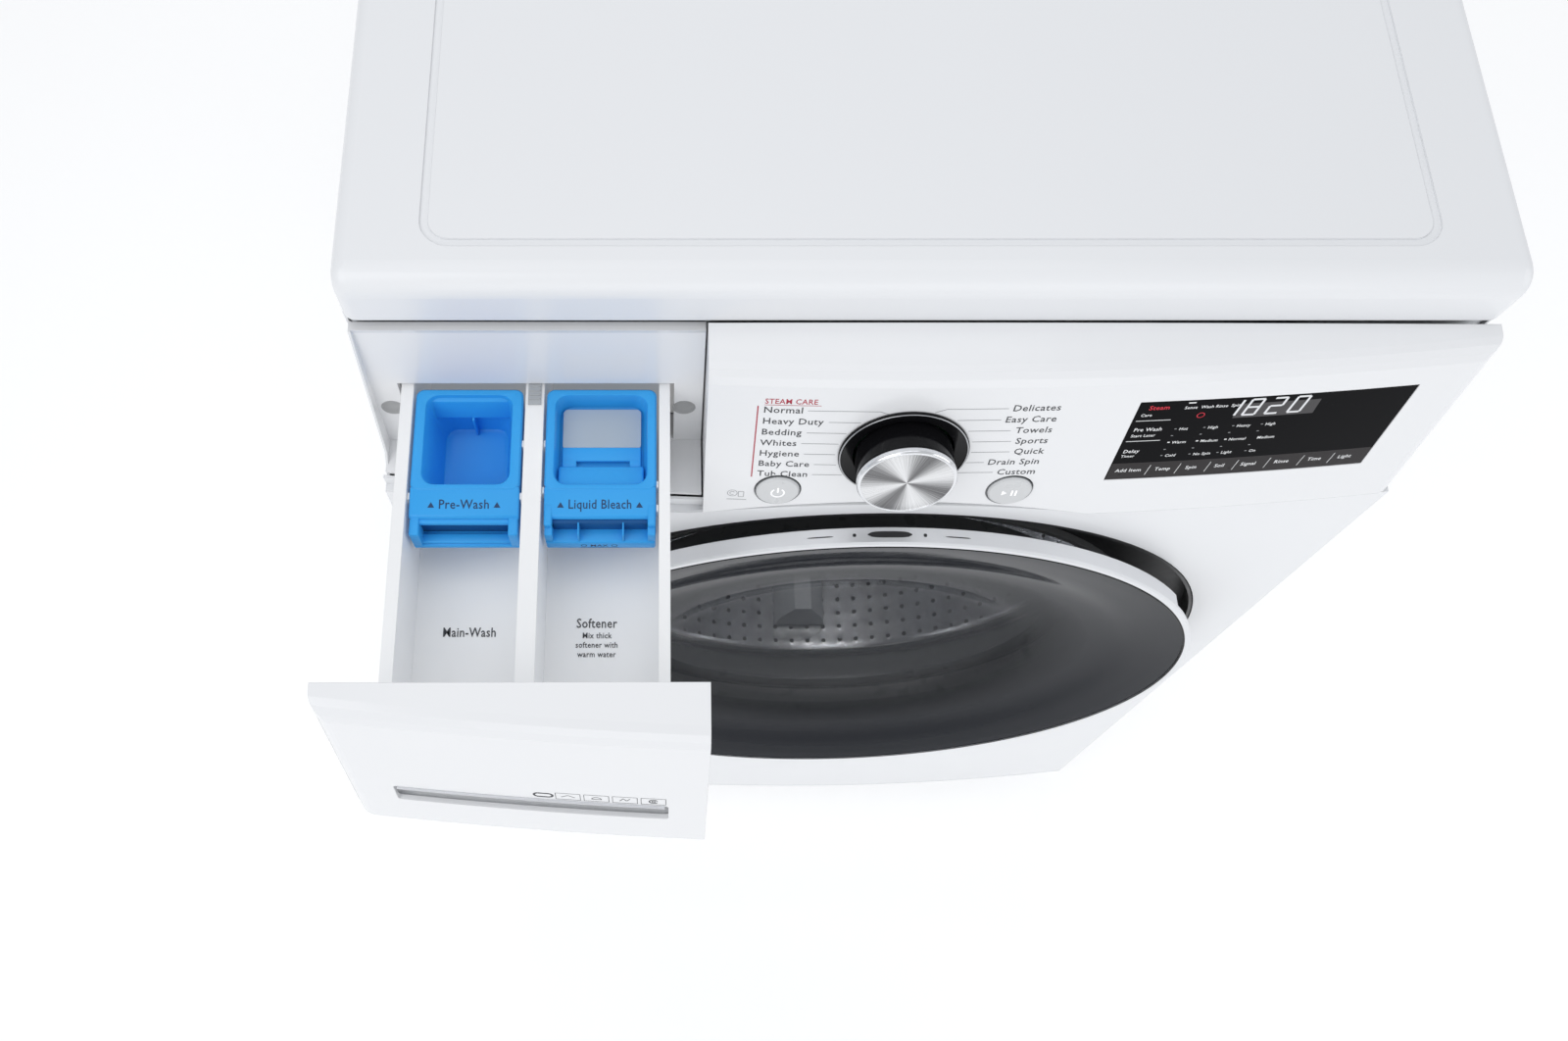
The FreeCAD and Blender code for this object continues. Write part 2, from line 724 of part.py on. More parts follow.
def door_lock():
    body = box(263.6, 318, 54, 82, -34, 34)
    mouth = box(265.6, 285, 50, 76, -13, 13)
    return placed(body.cut(mouth))


# ---------------------------------------------------------------- wash unit
def gasket():
    profile = [
        (251.6, 44),
        (251.6, 58.4),
        (258, 58.4),
        (258, 54.5),
        (262, 54.5),
        (262, 62.5),
        (246, 62.5),
        (238, 80),
        (238, 97.5),
        (233.6, 97.5),
        (233.6, 76),
        (243, 56),
        (247.6, 50),
        (247.6, 44),
    ]
    return placed(lathe(profile))


def tub_front():
    shell = lathe(
        [
            (238.3, 84),
            (268, 84),
            (292, 92),
            (tub_radius, 104),
            (tub_radius, 300),
            (tub_radius + 8, 300),
            (tub_radius + 8, 306),
            (tub_inner_radius, 306),
            (tub_inner_radius, 106),
            (268, 90),
            (243, 90),
            (243, 97),
            (238.3, 97),
        ]
    )
    spout = rod(22, (0, 150, -tub_radius + 4), (0, 0, -1), 34)
    bore = rod(18, (0, 150, -tub_radius + 40), (0, 0, -1), 90)
    inlet = rod(16, (-118, 260, 240), (0, 0, 1), 70)
    inlet_bore = rod(12.5, (-118, 260, 200), (0, 0, 1), 130)
    shell = fuse([shell, spout, inlet])
    hollow = lathe([(0, 107), (tub_inner_radius - 0.1, 107), (tub_inner_radius - 0.1, 305.9), (0, 305.9)])
    return placed(cut(shell, [bore, inlet_bore, hollow]))


def tub_rear():
    shell = lathe(
        [
            (tub_radius + 8, 306.3),
            (tub_radius + 8, 312),
            (tub_radius, 312),
            (tub_radius, 552),
            (280, 566),
            (70, 566),
            (70, 596),
            (32, 596),
            (32, 572),
            (32, 560),
            (26.5, 560),
            (26.5, 552),
            (45, 552),
            (70, 558),
            (276, 558),
            (tub_inner_radius, 546),
            (tub_inner_radius, 306.3),
        ]
    )
    ribs = []
    for k in range(12):
        rib = box(69, 278, 565.5, 578, -2.5, 2.5)
        rib.rotate(V(0, 0, 0), V(0, 1, 0), 30 * k)
        ribs.append(rib)
    eyes = [box(x - 8, x + 8, 494, 506, 228, 262) for x in (-190, 190)]
    holes = [rod(4, (x, 485, 254), (0, 1, 0), 40) for x in (-190, 190)]
    feet = [box(x - 12, x + 12, 380, 404, -262, -222) for x in (-190, 190)]
    inside = rod(tub_inner_radius - 0.1, (0, 320, 0), (0, 1, 0), 215)
    body = placed(cut(fuse([shell] + ribs + eyes + feet), holes + [inside]))
    sockets = [rod(damper_radius + 0.02, (x, y, 90), (0, 0, 1), damper_top - 90) for x, y in damper_points()]
    sockets += [rod(2.6, (x, spring_y, spring_low_z - 3), (0, 0, 1), 20) for x in (-190, 190)]
    return cut(body, sockets)


def counterweights():
    upper = ring(tub_radius + 26, tub_radius + 0.6, 120, 285)
    top = upper.common(box(-70, 205, 100, 300, 200, 400))
    face = lathe([(272, 60), (322, 60), (322, 83.4), (272, 83.4)])
    low = face.common(box(-230, 230, 40, 100, -400, -150))
    return placed(Part.makeCompound([top, low]))


def heater_element():
    tubes = [rod(3.2, (x, 330, -281.0), (0, 1, 0), 206) for x in (-22, 22)]
    joint = rod(3.2, (-22, 330, -281.0), (1, 0, 0), 44)
    ends = [Part.makeSphere(3.2, V(x, 330, -281.0)) for x in (-22, 22)]
    flange = box(-32, 32, 535, 545, -287.5, -277.5)
    return placed(fuse(tubes + [joint, flange] + ends))


def bearings():
    parts = [placed(ring(31.7, 15.02, 574, 590)), placed(ring(31.7, 20.02, 560.5, 572))]
    return Part.makeCompound(parts)


def stator():
    core = ring(118, 70.4, 580, 600)
    teeth = []
    for k in range(36):
        tooth = box(117.5, 128, 581, 599, -2.6, 2.6)
        tooth.rotate(V(0, 0, 0), V(0, 1, 0), 10 * k)
        teeth.append(tooth)
    return placed(fuse([core] + teeth))


def drum_shell():
    shell = lathe(
        [
            (218, drum_front + 8),
            (214, drum_front + 4),
            (214, drum_front),
            (219, drum_front),
            (256, drum_front + 4),
            (drum_radius, drum_front + 24),
            (drum_radius, drum_back - 14),
            (drum_radius - drum_sheet, drum_back - 14),
            (drum_radius - drum_sheet, drum_front + 25),
            (255.4, drum_front + 5.4),
            (219.6, drum_front + 1.4),
            (215.4, drum_front + 1.4),
            (215.4, drum_front + 4),
            (219, drum_front + 7.4),
        ]
    )
    return placed(shell)


def drum_back_plate():
    plate = lathe(
        [
            (0, 512),
            (120, 512),
            (160, 520),
            (250, 526),
            (drum_radius - 1.4, 520),
            (drum_radius - 1.4, 537),
            (drum_radius - 3.0, 537),
            (drum_radius - 3.0, 523),
            (250, 528),
            (160, 522),
            (119, 514),
            (0, 514),
        ]
    )
    return placed(plate)


def drum_lifters():
    parts = []
    for k in range(3):
        profile = [(-28, -273), (28, -273), (22, -250), (9, -224), (-9, -224), (-22, -250)]
        body = face_of([V(x, 150, z) for x, z in profile]).extrude(V(0, 330, 0))
        body = body.common(rod(drum_radius - drum_sheet - 0.15, (0, 100, 0), (0, 1, 0), 500))
        body.rotate(V(0, 0, 0), V(0, 1, 0), 120 * k)
        parts.append(placed(body))
    return Part.makeCompound(parts)


def spider():
    hub = lathe([(19.9, 530.5), (44, 530.5), (40, 548), (25.4, 549.5), (19.9, 549.5)])
    arms = []
    for k in range(3):
        outline = [V(18, 530.5, 0), V(262, 531, 0), V(262, 536, 0), V(40, 547, 0), V(18, 547, 0)]
        arm = face_of(outline).extrude(V(0, 0, 26))
        arm.translate(V(0, 0, -13))
        arm = arm.cut(rod(19.9, (0, 500, 0), (0, 1, 0), 100))
        arm.rotate(V(0, 0, 0), V(0, 1, 0), 120 * k + 60)
        arms.append(arm)
    return placed(fuse([hub] + arms))


def drum_shaft():
    return placed(lathe([(0, 526), (19.8, 526), (19.8, 573), (14.95, 574), (14.95, 612), (0, 612)]))


def rotor():
    cup = lathe(
        [
            (15.1, 602),
            (30, 602),
            (30, 608),
            (134, 608),
            (134, 582),
            (137, 582),
            (137, 611),
            (28, 611),
            (24, 616),
            (15.1, 616),
        ]
    )
    vents = []
    for k in range(12):
        vent = rounded_box(60, 112, 600, 620, -5, 5, 4, "y")
        vent.rotate(V(0, 0, 0), V(0, 1, 0), 30 * k)
        vents.append(vent)
    return placed(cut(cup, vents))


# ---------------------------------------------------------------- suspension
def damper_points():
    return [(x, 278.0) for x in (-190.0, 190.0)]


def damper_rods():
    parts = []
    for x, y in damper_points():
        parts.append(rod(damper_radius, (x, y, 95), (0, 0, 1), damper_top - 95))
    return Part.makeCompound(parts)


def damper_cylinders():
    parts = []
    for x, y in damper_points():
        tube = pipe(14, damper_radius + 0.08, (x, y, 84), (0, 0, 1), 86)
        foot = box(x - 20, x + 20, y - 20, y + 20, 29.2, 33)
        stem = rod(9, (x, y, 33), (0, 0, 1), 51)
        tube = fuse([tube, foot, stem])
        parts.append(tube.cut(rod(7.5, (x, y, 70), (0, 0, 1), 30)))
    return Part.makeCompound(parts)


def spring_hangers():
    parts = []
    for x in (-190, 190):
        arm = box(x - 10, x + 10, spring_y - 34, spring_y + 12, 927, 933)
        bar = rod(4, (x, spring_y, spring_high_z + 0.3), (0, 0, 1), 12)
        parts.append(fuse([arm, bar]))
    rail = box(-341, 341, spring_y - 38, spring_y - 34, 915, 945)
    return fuse([rail] + parts)


def suspension_springs():
    parts = []
    wire_radius = 1.8
    coil_radius = 13.0
    low = spring_low_z + 20
    high = spring_high_z - 14
    for x in (-190, 190):
        helix = Part.makeHelix(7.0, high - low, coil_radius)
        circle = Part.Wire(Part.makeCircle(wire_radius, V(coil_radius, 0, 0), V(0, 1, 0)))
        coil = Part.Wire(helix.Edges).makePipeShell([circle], True, True)
        coil.translate(V(x, spring_y, low))
        arms = [rod(wire_radius, (x, spring_y, z), (1, 0, 0), coil_radius) for z in (low, high)]
        stems = [rod(wire_radius, (x, spring_y, spring_low_z), (0, 0, 1), low - spring_low_z)]
        stems.append(rod(wire_radius, (x, spring_y, high), (0, 0, 1), spring_high_z - high))
        knees = [Part.makeSphere(wire_radius, V(x, spring_y, z)) for z in (low, high)]
        parts.append(coil.fuse(arms + stems + knees))
    return Part.makeCompound(parts)


# ---------------------------------------------------------------- water parts
def inlet_valves():
    parts = []
    bodies = []
    for x in (-270, -215):
        thread = pipe(13.2, 8, (x, 612, 905), (0, 1, 0), 39)
        block = box(x - 14, x + 14, 560, 612, 889, 921)
        coil = rod(12, (x, 585, 921), (0, 0, 1), 22)
        nozzle = pipe(5, 3, (x, 538, 899), (0, 1, 0), 22.2)
        bodies.append(fuse([thread, block, coil, nozzle]))
    bridge = box(-256.5, -228.5, 590, 605, 895, 915)
    parts.append(fuse(bodies + [bridge]))
    return parts[0]


def drain_pump():
    body = rod(34, (-228, 40, 96), (0, 1, 0), 60)
    neck = rod(30, (-228, -30, 96), (0, 1, 0), 72)
    room = rod(26, (-228, -35, 96), (0, 1, 0), 75)
    motor = rod(24, (-228, 100, 96), (0, 1, 0), 50)
    wheel_room = rod(28, (-228, 60, 96), (0, 1, 0), 30)
    inlet = rod(16, (-200, 60, 118), (1, 0, 0), 70)
    inlet_bore = rod(12, (-215, 60, 118), (1, 0, 0), 100)
    foot = box(-262, -194, 50, 96, 29.2, 66)
    stub = rod(11, (-250, 80, 118), (-1, 0, 0), 44)
    stub_bore = rod(8, (-240, 80, 118), (-1, 0, 0), 80)
    outer = fuse([body, neck, motor, inlet, foot, stub])
    return cut(outer, [room, wheel_room, inlet_bore, stub_bore])


def pump_filter():
    cap = rod(24.5, (-228, -34, 96), (0, 1, 0), 12)
    grip = box(-248, -208, -46, -34, 93, 99)
    cage = pipe(22, 20, (-228, -22, 96), (0, 1, 0), 50)
    slots = [box(-260, -196, y, y + 4, 80, 112) for y in (-10, 0, 10, 20)]
    return cut(fuse([cap, grip, cage]), slots)


def service_flap():
    t = 2.0
    plate = bowed(
        [
            (panel_y(61), 61),
            (panel_y(159), 159),
            (panel_y(159) + t, 159),
            (panel_y(61) + t, 61),
        ],
        -289,
        -171,
    )
    plate = cut(plate, [box(x, x + 5.6, -200, 0, 50, 69) for x in (-269.3, -196.3)])
    xs = (-283, -190.5)
    knuckles = [rod(3.6, (x, flap_pin_y, flap_pin_z), (1, 0, 0), 13.5) for x in xs]
    lugs = []
    for x in xs:
        front = panel_y(flap_pin_z) + bow_at(x) + 1.2
        lugs.append(box(x, x + 13.5, front, flap_pin_y, flap_pin_z - 1.5, flap_pin_z + 3.6))
    bore = rod(flap_pin_radius + 0.05, (-300, flap_pin_y, flap_pin_z), (1, 0, 0), 150)
    return fuse([plate] + knuckles + lugs).cut(bore)


def power_inlet():
    body = box(226, 254, 608, rear_y + 6, 871, 891)
    collar = box(221, 259, rear_y + 2.0, rear_y + 5, 867, 895)
    socket = box(230, 250, rear_y - 8, rear_y + 8, 875, 887)
    pins = [box(x, x + 2, rear_y - 9, rear_y + 3, 879, 883) for x in (234, 239, 244)]
    return fuse([fuse([body, collar]).cut(socket)] + pins)


def drain_outlet():
    inner_tube = pipe(13.2, 11, (-290, 560, 120), (0, 1, 0), rear_y + 2 - 560)
    flange = pipe(24, 11, (-290, rear_y + 2, 120), (0, 1, 0), 3)
    spigot = pipe(14.2, 11, (-290, rear_y + 5, 120), (0, 1, 0), 21)
    return fuse([inner_tube, flange, spigot])


def foot_points():
    return [(x, y) for x in (-foot_x, foot_x) for y in (foot_front_y, foot_back_y)]


def feet():
    parts = []
    for x, y in foot_points():
        pad = rod(22, (x, y, 0), (0, 0, 1), 10)
        pad = rounded(pad, 2, lambda e: True)
        stud = rod(6, (x, y, 9), (0, 0, 1), 46)
        parts.append(pad.fuse(stud))
    return Part.makeCompound(parts)


NODES = {
    "top_cover": top_cover,
    "side_panel_left": lambda: side_panel(-1),
    "side_panel_right": lambda: side_panel(1),
    "rear_panel": rear_panel,
    "rear_cover": rear_cover,
    "base_pan": base_pan,
    "front_panel": front_panel,
    "front_crossbar": front_crossbar,
    "control_fascia": control_fascia,
    "drawer_front": drawer_front,
    "handle_pocket": handle_pocket,
    "handle_trim": handle_trim,
    "drawer_tub": drawer_tub,
    "release_tab": release_tab,
    "prewash_cup": prewash_cup,
    "bleach_cup": bleach_cup,
    "bleach_window": bleach_window,
    "recess_frame": recess_frame,
    "recess_screws": recess_screws,
    "dispenser_housing": dispenser_housing,
    "knob_bezel": knob_bezel,
    "knob_cap": knob_cap,
    "panel_board": panel_board,
    "power_button": lambda: push_button(-1),
    "start_button": lambda: push_button(1),
    "display_window": display_window,
    "main_board_box": main_board_box,
    "door_surround": door_surround,
    "door_ring": door_ring,
    "door_glass": door_glass,
    "door_back_frame": door_back_frame,
    "door_bowl": door_bowl,
    "latch_hook": latch_hook,
    "hinge_arm": hinge_arm,
    "hinge_bracket": hinge_bracket,
    "door_lock": door_lock,
    "gasket": gasket,
    "tub_front": tub_front,
    "tub_rear": tub_rear,
    "counterweights": counterweights,
    "heater_element": heater_element,
    "bearings": bearings,
    "stator": stator,
    "drum_shell": drum_shell,
    "drum_back_plate": drum_back_plate,
    "drum_lifters": drum_lifters,
    "spider": spider,
    "drum_shaft": drum_shaft,
    "rotor": rotor,
    "feet": feet,
    "drain_pump": drain_pump,
    "pump_filter": pump_filter,
    "service_flap": service_flap,
    "inlet_valves": inlet_valves,
    "suspension_springs": suspension_springs,
    "spring_hangers": spring_hangers,
    "damper_rods": damper_rods,
    "damper_cylinders": damper_cylinders,
    "power_inlet": power_inlet,
    "drain_outlet": drain_outlet,
}
for name, make in NODES.items():
    shape = make()
    shape.translate(V(0, frame_shift_y, 0))
    shape.exportStep("parts/" + name + ".step")
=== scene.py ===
"""Front load washing machine: looks, extra detail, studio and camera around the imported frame."""
import json
import math

import bmesh
import bpy
from mathutils import Matrix, Vector
from mathutils.bvhtree import BVHTree


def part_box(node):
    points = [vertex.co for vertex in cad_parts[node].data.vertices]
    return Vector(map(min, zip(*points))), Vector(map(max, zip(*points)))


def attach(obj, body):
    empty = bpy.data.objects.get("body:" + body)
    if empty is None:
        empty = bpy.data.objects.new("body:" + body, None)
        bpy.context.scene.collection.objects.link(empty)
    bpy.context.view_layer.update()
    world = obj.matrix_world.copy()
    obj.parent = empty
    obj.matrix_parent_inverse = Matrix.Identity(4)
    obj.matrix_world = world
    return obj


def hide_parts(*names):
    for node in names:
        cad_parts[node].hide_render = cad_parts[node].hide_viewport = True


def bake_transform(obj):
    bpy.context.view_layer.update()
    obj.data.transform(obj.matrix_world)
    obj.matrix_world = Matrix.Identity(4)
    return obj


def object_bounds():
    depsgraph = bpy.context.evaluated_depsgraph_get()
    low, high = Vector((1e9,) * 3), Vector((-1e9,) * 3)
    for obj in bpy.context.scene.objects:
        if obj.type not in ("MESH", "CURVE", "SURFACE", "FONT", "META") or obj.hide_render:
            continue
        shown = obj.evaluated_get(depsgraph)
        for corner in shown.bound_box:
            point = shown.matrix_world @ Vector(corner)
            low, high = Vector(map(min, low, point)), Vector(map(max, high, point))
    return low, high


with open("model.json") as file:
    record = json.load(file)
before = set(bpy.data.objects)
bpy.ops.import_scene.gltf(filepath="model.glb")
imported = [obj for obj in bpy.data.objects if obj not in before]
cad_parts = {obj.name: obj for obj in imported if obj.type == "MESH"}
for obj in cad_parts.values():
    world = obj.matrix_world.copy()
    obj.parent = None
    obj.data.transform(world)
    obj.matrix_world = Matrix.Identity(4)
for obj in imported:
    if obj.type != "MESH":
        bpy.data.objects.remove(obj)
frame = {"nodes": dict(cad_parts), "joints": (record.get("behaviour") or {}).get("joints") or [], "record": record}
cad_low, cad_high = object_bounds()
nodes = frame["nodes"]
joints = {j["name"]: j for j in frame["joints"]}
MM = 0.001


# ---------------------------------------------------------------- materials
def new_material(name):
    mat = bpy.data.materials.new(name)
    mat.use_nodes = True
    tree = mat.node_tree
    shader = tree.nodes["Principled BSDF"]
    return mat, tree, shader


def add(tree, kind, **values):
    node = tree.nodes.new(kind)
    for key, value in values.items():
        if key in node.inputs:
            node.inputs[key].default_value = value
        else:
            setattr(node, key, value)
    return node


def noise(tree, scale, detail=3.0, stretch=None):
    """Noise over the object's own metres, stretched along an axis for brushed looks."""
    coords = add(tree, "ShaderNodeTexCoord")
    texture = add(tree, "ShaderNodeTexNoise", Scale=scale, Detail=detail)
    if stretch:
        mapping = add(tree, "ShaderNodeMapping")
        mapping.inputs["Scale"].default_value = stretch
        tree.links.new(coords.outputs["Object"], mapping.inputs["Vector"])
        tree.links.new(mapping.outputs["Vector"], texture.inputs["Vector"])
    else:
        tree.links.new(coords.outputs["Object"], texture.inputs["Vector"])
    return texture.outputs["Fac"]


def remap(tree, value, low, high, start=0.3, end=0.7):
    node = add(tree, "ShaderNodeMapRange")
    node.inputs["From Min"].default_value = start
    node.inputs["From Max"].default_value = end
    node.inputs["To Min"].default_value = low
    node.inputs["To Max"].default_value = high
    tree.links.new(value, node.inputs["Value"])
    return node.outputs["Result"]


def blend_colours(tree, factor, first, second):
    node = add(tree, "ShaderNodeMix", data_type="RGBA")
    for socket in node.inputs:
        if socket.type == "RGBA":
            socket.default_value = (*(first if socket.name == "A" else second), 1)
    tree.links.new(factor, node.inputs["Factor"])
    return [s for s in node.outputs if s.type == "RGBA"][0]


def surface(name, colour, rough, metal=0.0, shift=0.03, grain=900.0, depth=0.02, patch=9.0,
            edge=0.0006, stretch=None, spread=0.05, **sockets):
    """A finish with mottled colour, uneven gloss, fine relief and softened edges."""
    mat, tree, shader = new_material(name)
    darker = tuple(max(c * (1 - shift), 0) for c in colour)
    colour_out = blend_colours(tree, noise(tree, patch, 4.0, stretch), darker, colour)
    tree.links.new(colour_out, shader.inputs["Base Color"])
    gloss = remap(tree, noise(tree, patch * 6, 5.0, stretch), max(rough - spread, 0.01), rough + spread)
    tree.links.new(gloss, shader.inputs["Roughness"])
    shader.inputs["Metallic"].default_value = metal
    bump = add(tree, "ShaderNodeBump", Strength=depth)
    bump.inputs["Distance"].default_value = 0.001
    tree.links.new(noise(tree, grain, 2.0, stretch), bump.inputs["Height"])
    soft = add(tree, "ShaderNodeBevel", Radius=edge)
    soft.samples = 4
    tree.links.new(soft.outputs["Normal"], bump.inputs["Normal"])
    tree.links.new(bump.outputs["Normal"], shader.inputs["Normal"])
    for key, value in sockets.items():
        shader.inputs[key.replace("_", " ")].default_value = value
    return mat


def paint(obj, mat):
    obj.data.materials.clear()
    obj.data.materials.append(mat)
    return obj


ENAMEL = surface("satin_enamel", (0.84, 0.85, 0.868), 0.32, shift=0.012, spread=0.02, depth=0.008,
                 grain=500, patch=5, Coat_Weight=0.2, Coat_Roughness=0.15)
GLOSS_WHITE = surface("gloss_white_plastic", (0.85, 0.857, 0.872), 0.20, shift=0.012, spread=0.03,
                      depth=0.006, grain=900, patch=5, Coat_Weight=0.2, Coat_Roughness=0.08)
# Moulded white plastic with painted light: a faint glow lifts the tray out of the shade inside the drawer.
TRAY_WHITE_PAINTED_GLOW = surface("moulded_white_plastic_painted_glow", (0.88, 0.885, 0.89), 0.36, shift=0.012, depth=0.02, grain=1800,
                     Emission_Color=(1, 1, 1, 1), Emission_Strength=0.06)
ZINC = surface("galvanised_steel", (0.60, 0.62, 0.64), 0.42, metal=0.9, shift=0.25, patch=45, grain=300,
               depth=0.04)
TRIM = surface("brushed_trim", (0.66, 0.67, 0.70), 0.30, metal=1.0, grain=2500, depth=0.05,
               stretch=(0.04, 1, 1))
TAB_GREY = surface("tab_grey", (0.46, 0.48, 0.50), 0.45, depth=0.05)
CUP_BLUE = surface("cup_blue_plastic", (0.040, 0.40, 0.90), 0.34, shift=0.04, depth=0.015, grain=1200,
                   Specular_IOR_Level=0.3)
# Darker blue for the back walls inside the grips: painted shade, where those deep hollows fall dark.
CUP_PAINTED_SHADE = surface("cup_painted_shade_blue", (0.012, 0.10, 0.30), 0.40, shift=0.05, depth=0.02, grain=1200,
                    Specular_IOR_Level=0.2)
SCREW = surface("plated_steel", (0.52, 0.53, 0.55), 0.32, metal=1.0, shift=0.15, grain=3000, depth=0.05)
BLACK = surface("gloss_black", (0.004, 0.004, 0.005), 0.08, depth=0.003, spread=0.02,
                Specular_IOR_Level=0.035)
BEZEL_BLACK = surface("bezel_black", (0.006, 0.006, 0.007), 0.10, depth=0.003, spread=0.02,
                      Specular_IOR_Level=0.16)
KNOB = surface("spun_metal", (0.72, 0.73, 0.75), 0.24, metal=1.0, grain=2500, depth=0.03)
KEY_WHITE = surface("key_white", (0.66, 0.67, 0.68), 0.30, depth=0.02)
KEY_RING = surface("key_ring", (0.26, 0.27, 0.28), 0.28, metal=0.8, shift=0.05, depth=0.02)
BOARD = surface("board_green", (0.02, 0.13, 0.05), 0.35, shift=0.3, patch=120, depth=0.1, grain=400)
DARK = surface("dark_plastic", (0.022, 0.022, 0.024), 0.42, depth=0.06, grain=2200)
SERVICE = surface("service_white", (0.76, 0.77, 0.78), 0.42, depth=0.05, grain=1600)
CHROME = surface("satin_chrome", (0.80, 0.81, 0.83), 0.16, metal=1.0, shift=0.02, spread=0.03, grain=2000,
                 depth=0.01)
RING_SATIN = surface("ring_satin", (0.80, 0.81, 0.83), 0.38, metal=0.55, shift=0.02, spread=0.04,
                     grain=2000, depth=0.01)
FRAME_GREY = surface("door_frame_grey", (0.16, 0.165, 0.17), 0.30, depth=0.03)
RUBBER = surface("bellows_rubber", (0.20, 0.205, 0.21), 0.60, depth=0.12, grain=1400)
TUB = surface("tub_plastic", (0.58, 0.59, 0.60), 0.55, shift=0.10, patch=30, depth=0.15, grain=900)
CONCRETE = surface("cast_concrete", (0.36, 0.35, 0.33), 0.85, shift=0.35, patch=80, grain=220, depth=0.7,
                   spread=0.1)
STAINLESS = surface("stainless_bar", (0.50, 0.50, 0.52), 0.30, metal=1.0, grain=2600, depth=0.05)
WINDINGS = surface("lacquered_windings", (0.33, 0.14, 0.06), 0.35, shift=0.4, patch=160, depth=0.3, grain=700)
DRUM_STEEL = surface("drum_steel", (0.74, 0.75, 0.77), 0.22, metal=1.0, grain=1600, depth=0.04,
                     stretch=(1, 0.06, 1))
LIFTER = surface("lifter_grey", (0.55, 0.57, 0.60), 0.40, depth=0.04)
CAST = surface("cast_alloy", (0.50, 0.51, 0.52), 0.48, metal=0.95, shift=0.2, patch=60, grain=420, depth=0.3)
FOOT = surface("foot_rubber", (0.03, 0.03, 0.03), 0.7, depth=0.2, grain=900)
CAP_DARK = surface("cap_dark", (0.05, 0.06, 0.085), 0.4, depth=0.06)

SLOT_LOOKS = {
    "enamel_white": ENAMEL, "panel_white": GLOSS_WHITE, "zinc_steel": ZINC, "tray_white": TRAY_WHITE_PAINTED_GLOW,
    "trim_metal": TRIM, "tab_grey": TAB_GREY, "cup_blue": CUP_BLUE, "screw_steel": SCREW,
    "gloss_black": BLACK, "knob_metal": KNOB, "button_white": KEY_WHITE, "board_green": BOARD,
    "dark_plastic": DARK, "service_white": SERVICE, "ring_chrome": RING_SATIN, "frame_grey": FRAME_GREY,
    "gasket_grey": RUBBER, "tub_plastic": TUB, "ballast_grey": CONCRETE, "heater_steel": STAINLESS,
    "stator_iron": WINDINGS,
    "drum_steel": DRUM_STEEL, "lifter_grey": LIFTER, "cast_light_alloy": CAST, "foot_rubber": FOOT,
    "cap_dark": CAP_DARK,
}


def clear_plastic(name, tint, opacity, rough, shine=0.5):
    mat, tree, shader = new_material(name)
    shader.inputs["Base Color"].default_value = (*tint, 1)
    shader.inputs["Alpha"].default_value = opacity
    shader.inputs["Specular IOR Level"].default_value = shine
    gloss = remap(tree, noise(tree, 60, 4.0), max(rough - 0.02, 0.01), rough + 0.04)
    tree.links.new(gloss, shader.inputs["Roughness"])
    bump = add(tree, "ShaderNodeBump", Strength=0.02)
    bump.inputs["Distance"].default_value = 0.001
    tree.links.new(noise(tree, 500, 2.0), bump.inputs["Height"])
    tree.links.new(bump.outputs["Normal"], shader.inputs["Normal"])
    return mat


SLOT_LOOKS["smoked_window"] = clear_plastic("smoked_window", (0.012, 0.014, 0.018), 0.74, 0.05)
SLOT_LOOKS["bowl_glass"] = clear_plastic("bowl_glass", (0.10, 0.11, 0.125), 0.22, 0.03, 0.2)
SLOT_LOOKS["cup_window"] = clear_plastic("cup_window", (0.52, 0.60, 0.68), 0.80, 0.30)


def dress_cad():
    for part in frame["record"]["subparts"]:
        paint(nodes[part["node"]], SLOT_LOOKS[part["material_slot"]])


def smooth_cad(angle=35.0):
    for obj in nodes.values():
        obj.data.shade_smooth()
        obj.data.set_sharp_from_angle(angle=math.radians(angle))


dress_cad()
smooth_cad()


# ---------------------------------------------------------------- shape helpers
def piece(name, bm, mat, body, replaced=(), angle=35, pose=None):
    """Turns a bmesh into a shown piece, which rides on a CAD body if one is given."""
    bmesh.ops.recalc_face_normals(bm, faces=bm.faces[:])
    mesh = bpy.data.meshes.new(name)
    bm.to_mesh(mesh)
    bm.free()
    mesh.shade_smooth()
    mesh.set_sharp_from_angle(angle=math.radians(angle))
    obj = bpy.data.objects.new(name, mesh)
    bpy.context.scene.collection.objects.link(obj)
    mesh.materials.append(mat)
    if pose is not None:
        obj.matrix_world = pose
    if body:
        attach(obj, body)
    if replaced:
        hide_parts(*replaced)
    return obj


def merge(bm, other):
    """Adds another bmesh to this one and frees it."""
    mesh = bpy.data.meshes.new("part")
    other.to_mesh(mesh)
    other.free()
    bm.from_mesh(mesh)
    bpy.data.meshes.remove(mesh)


def metres(points):
    """(a, b) pairs in millimetres as pairs in metres."""
    return [(a * MM, b * MM) for a, b in points]


def axis_pose(place, axis):
    """Local Z along the axis, local Y as near to up as it can be."""
    turn = Vector(axis).to_track_quat("Z", "Y").to_matrix().to_4x4()
    return Matrix.Translation(Vector(place)) @ turn


def fillet(points, radius, steps=4):
    """Rounds the inner corners of a profile."""
    out = [Vector(points[0])]
    for a, b, c in zip(points, points[1:], points[2:]):
        a, b, c = Vector(a), Vector(b), Vector(c)
        reach = min(radius, 0.45 * (a - b).length, 0.45 * (c - b).length)
        start = b + (a - b).normalized() * reach
        end = b + (c - b).normalized() * reach
        for k in range(steps + 1):
            t = k / steps
            out.append(start * (1 - t) ** 2 + b * 2 * t * (1 - t) + end * t * t)
    out.append(Vector(points[-1]))
    return out


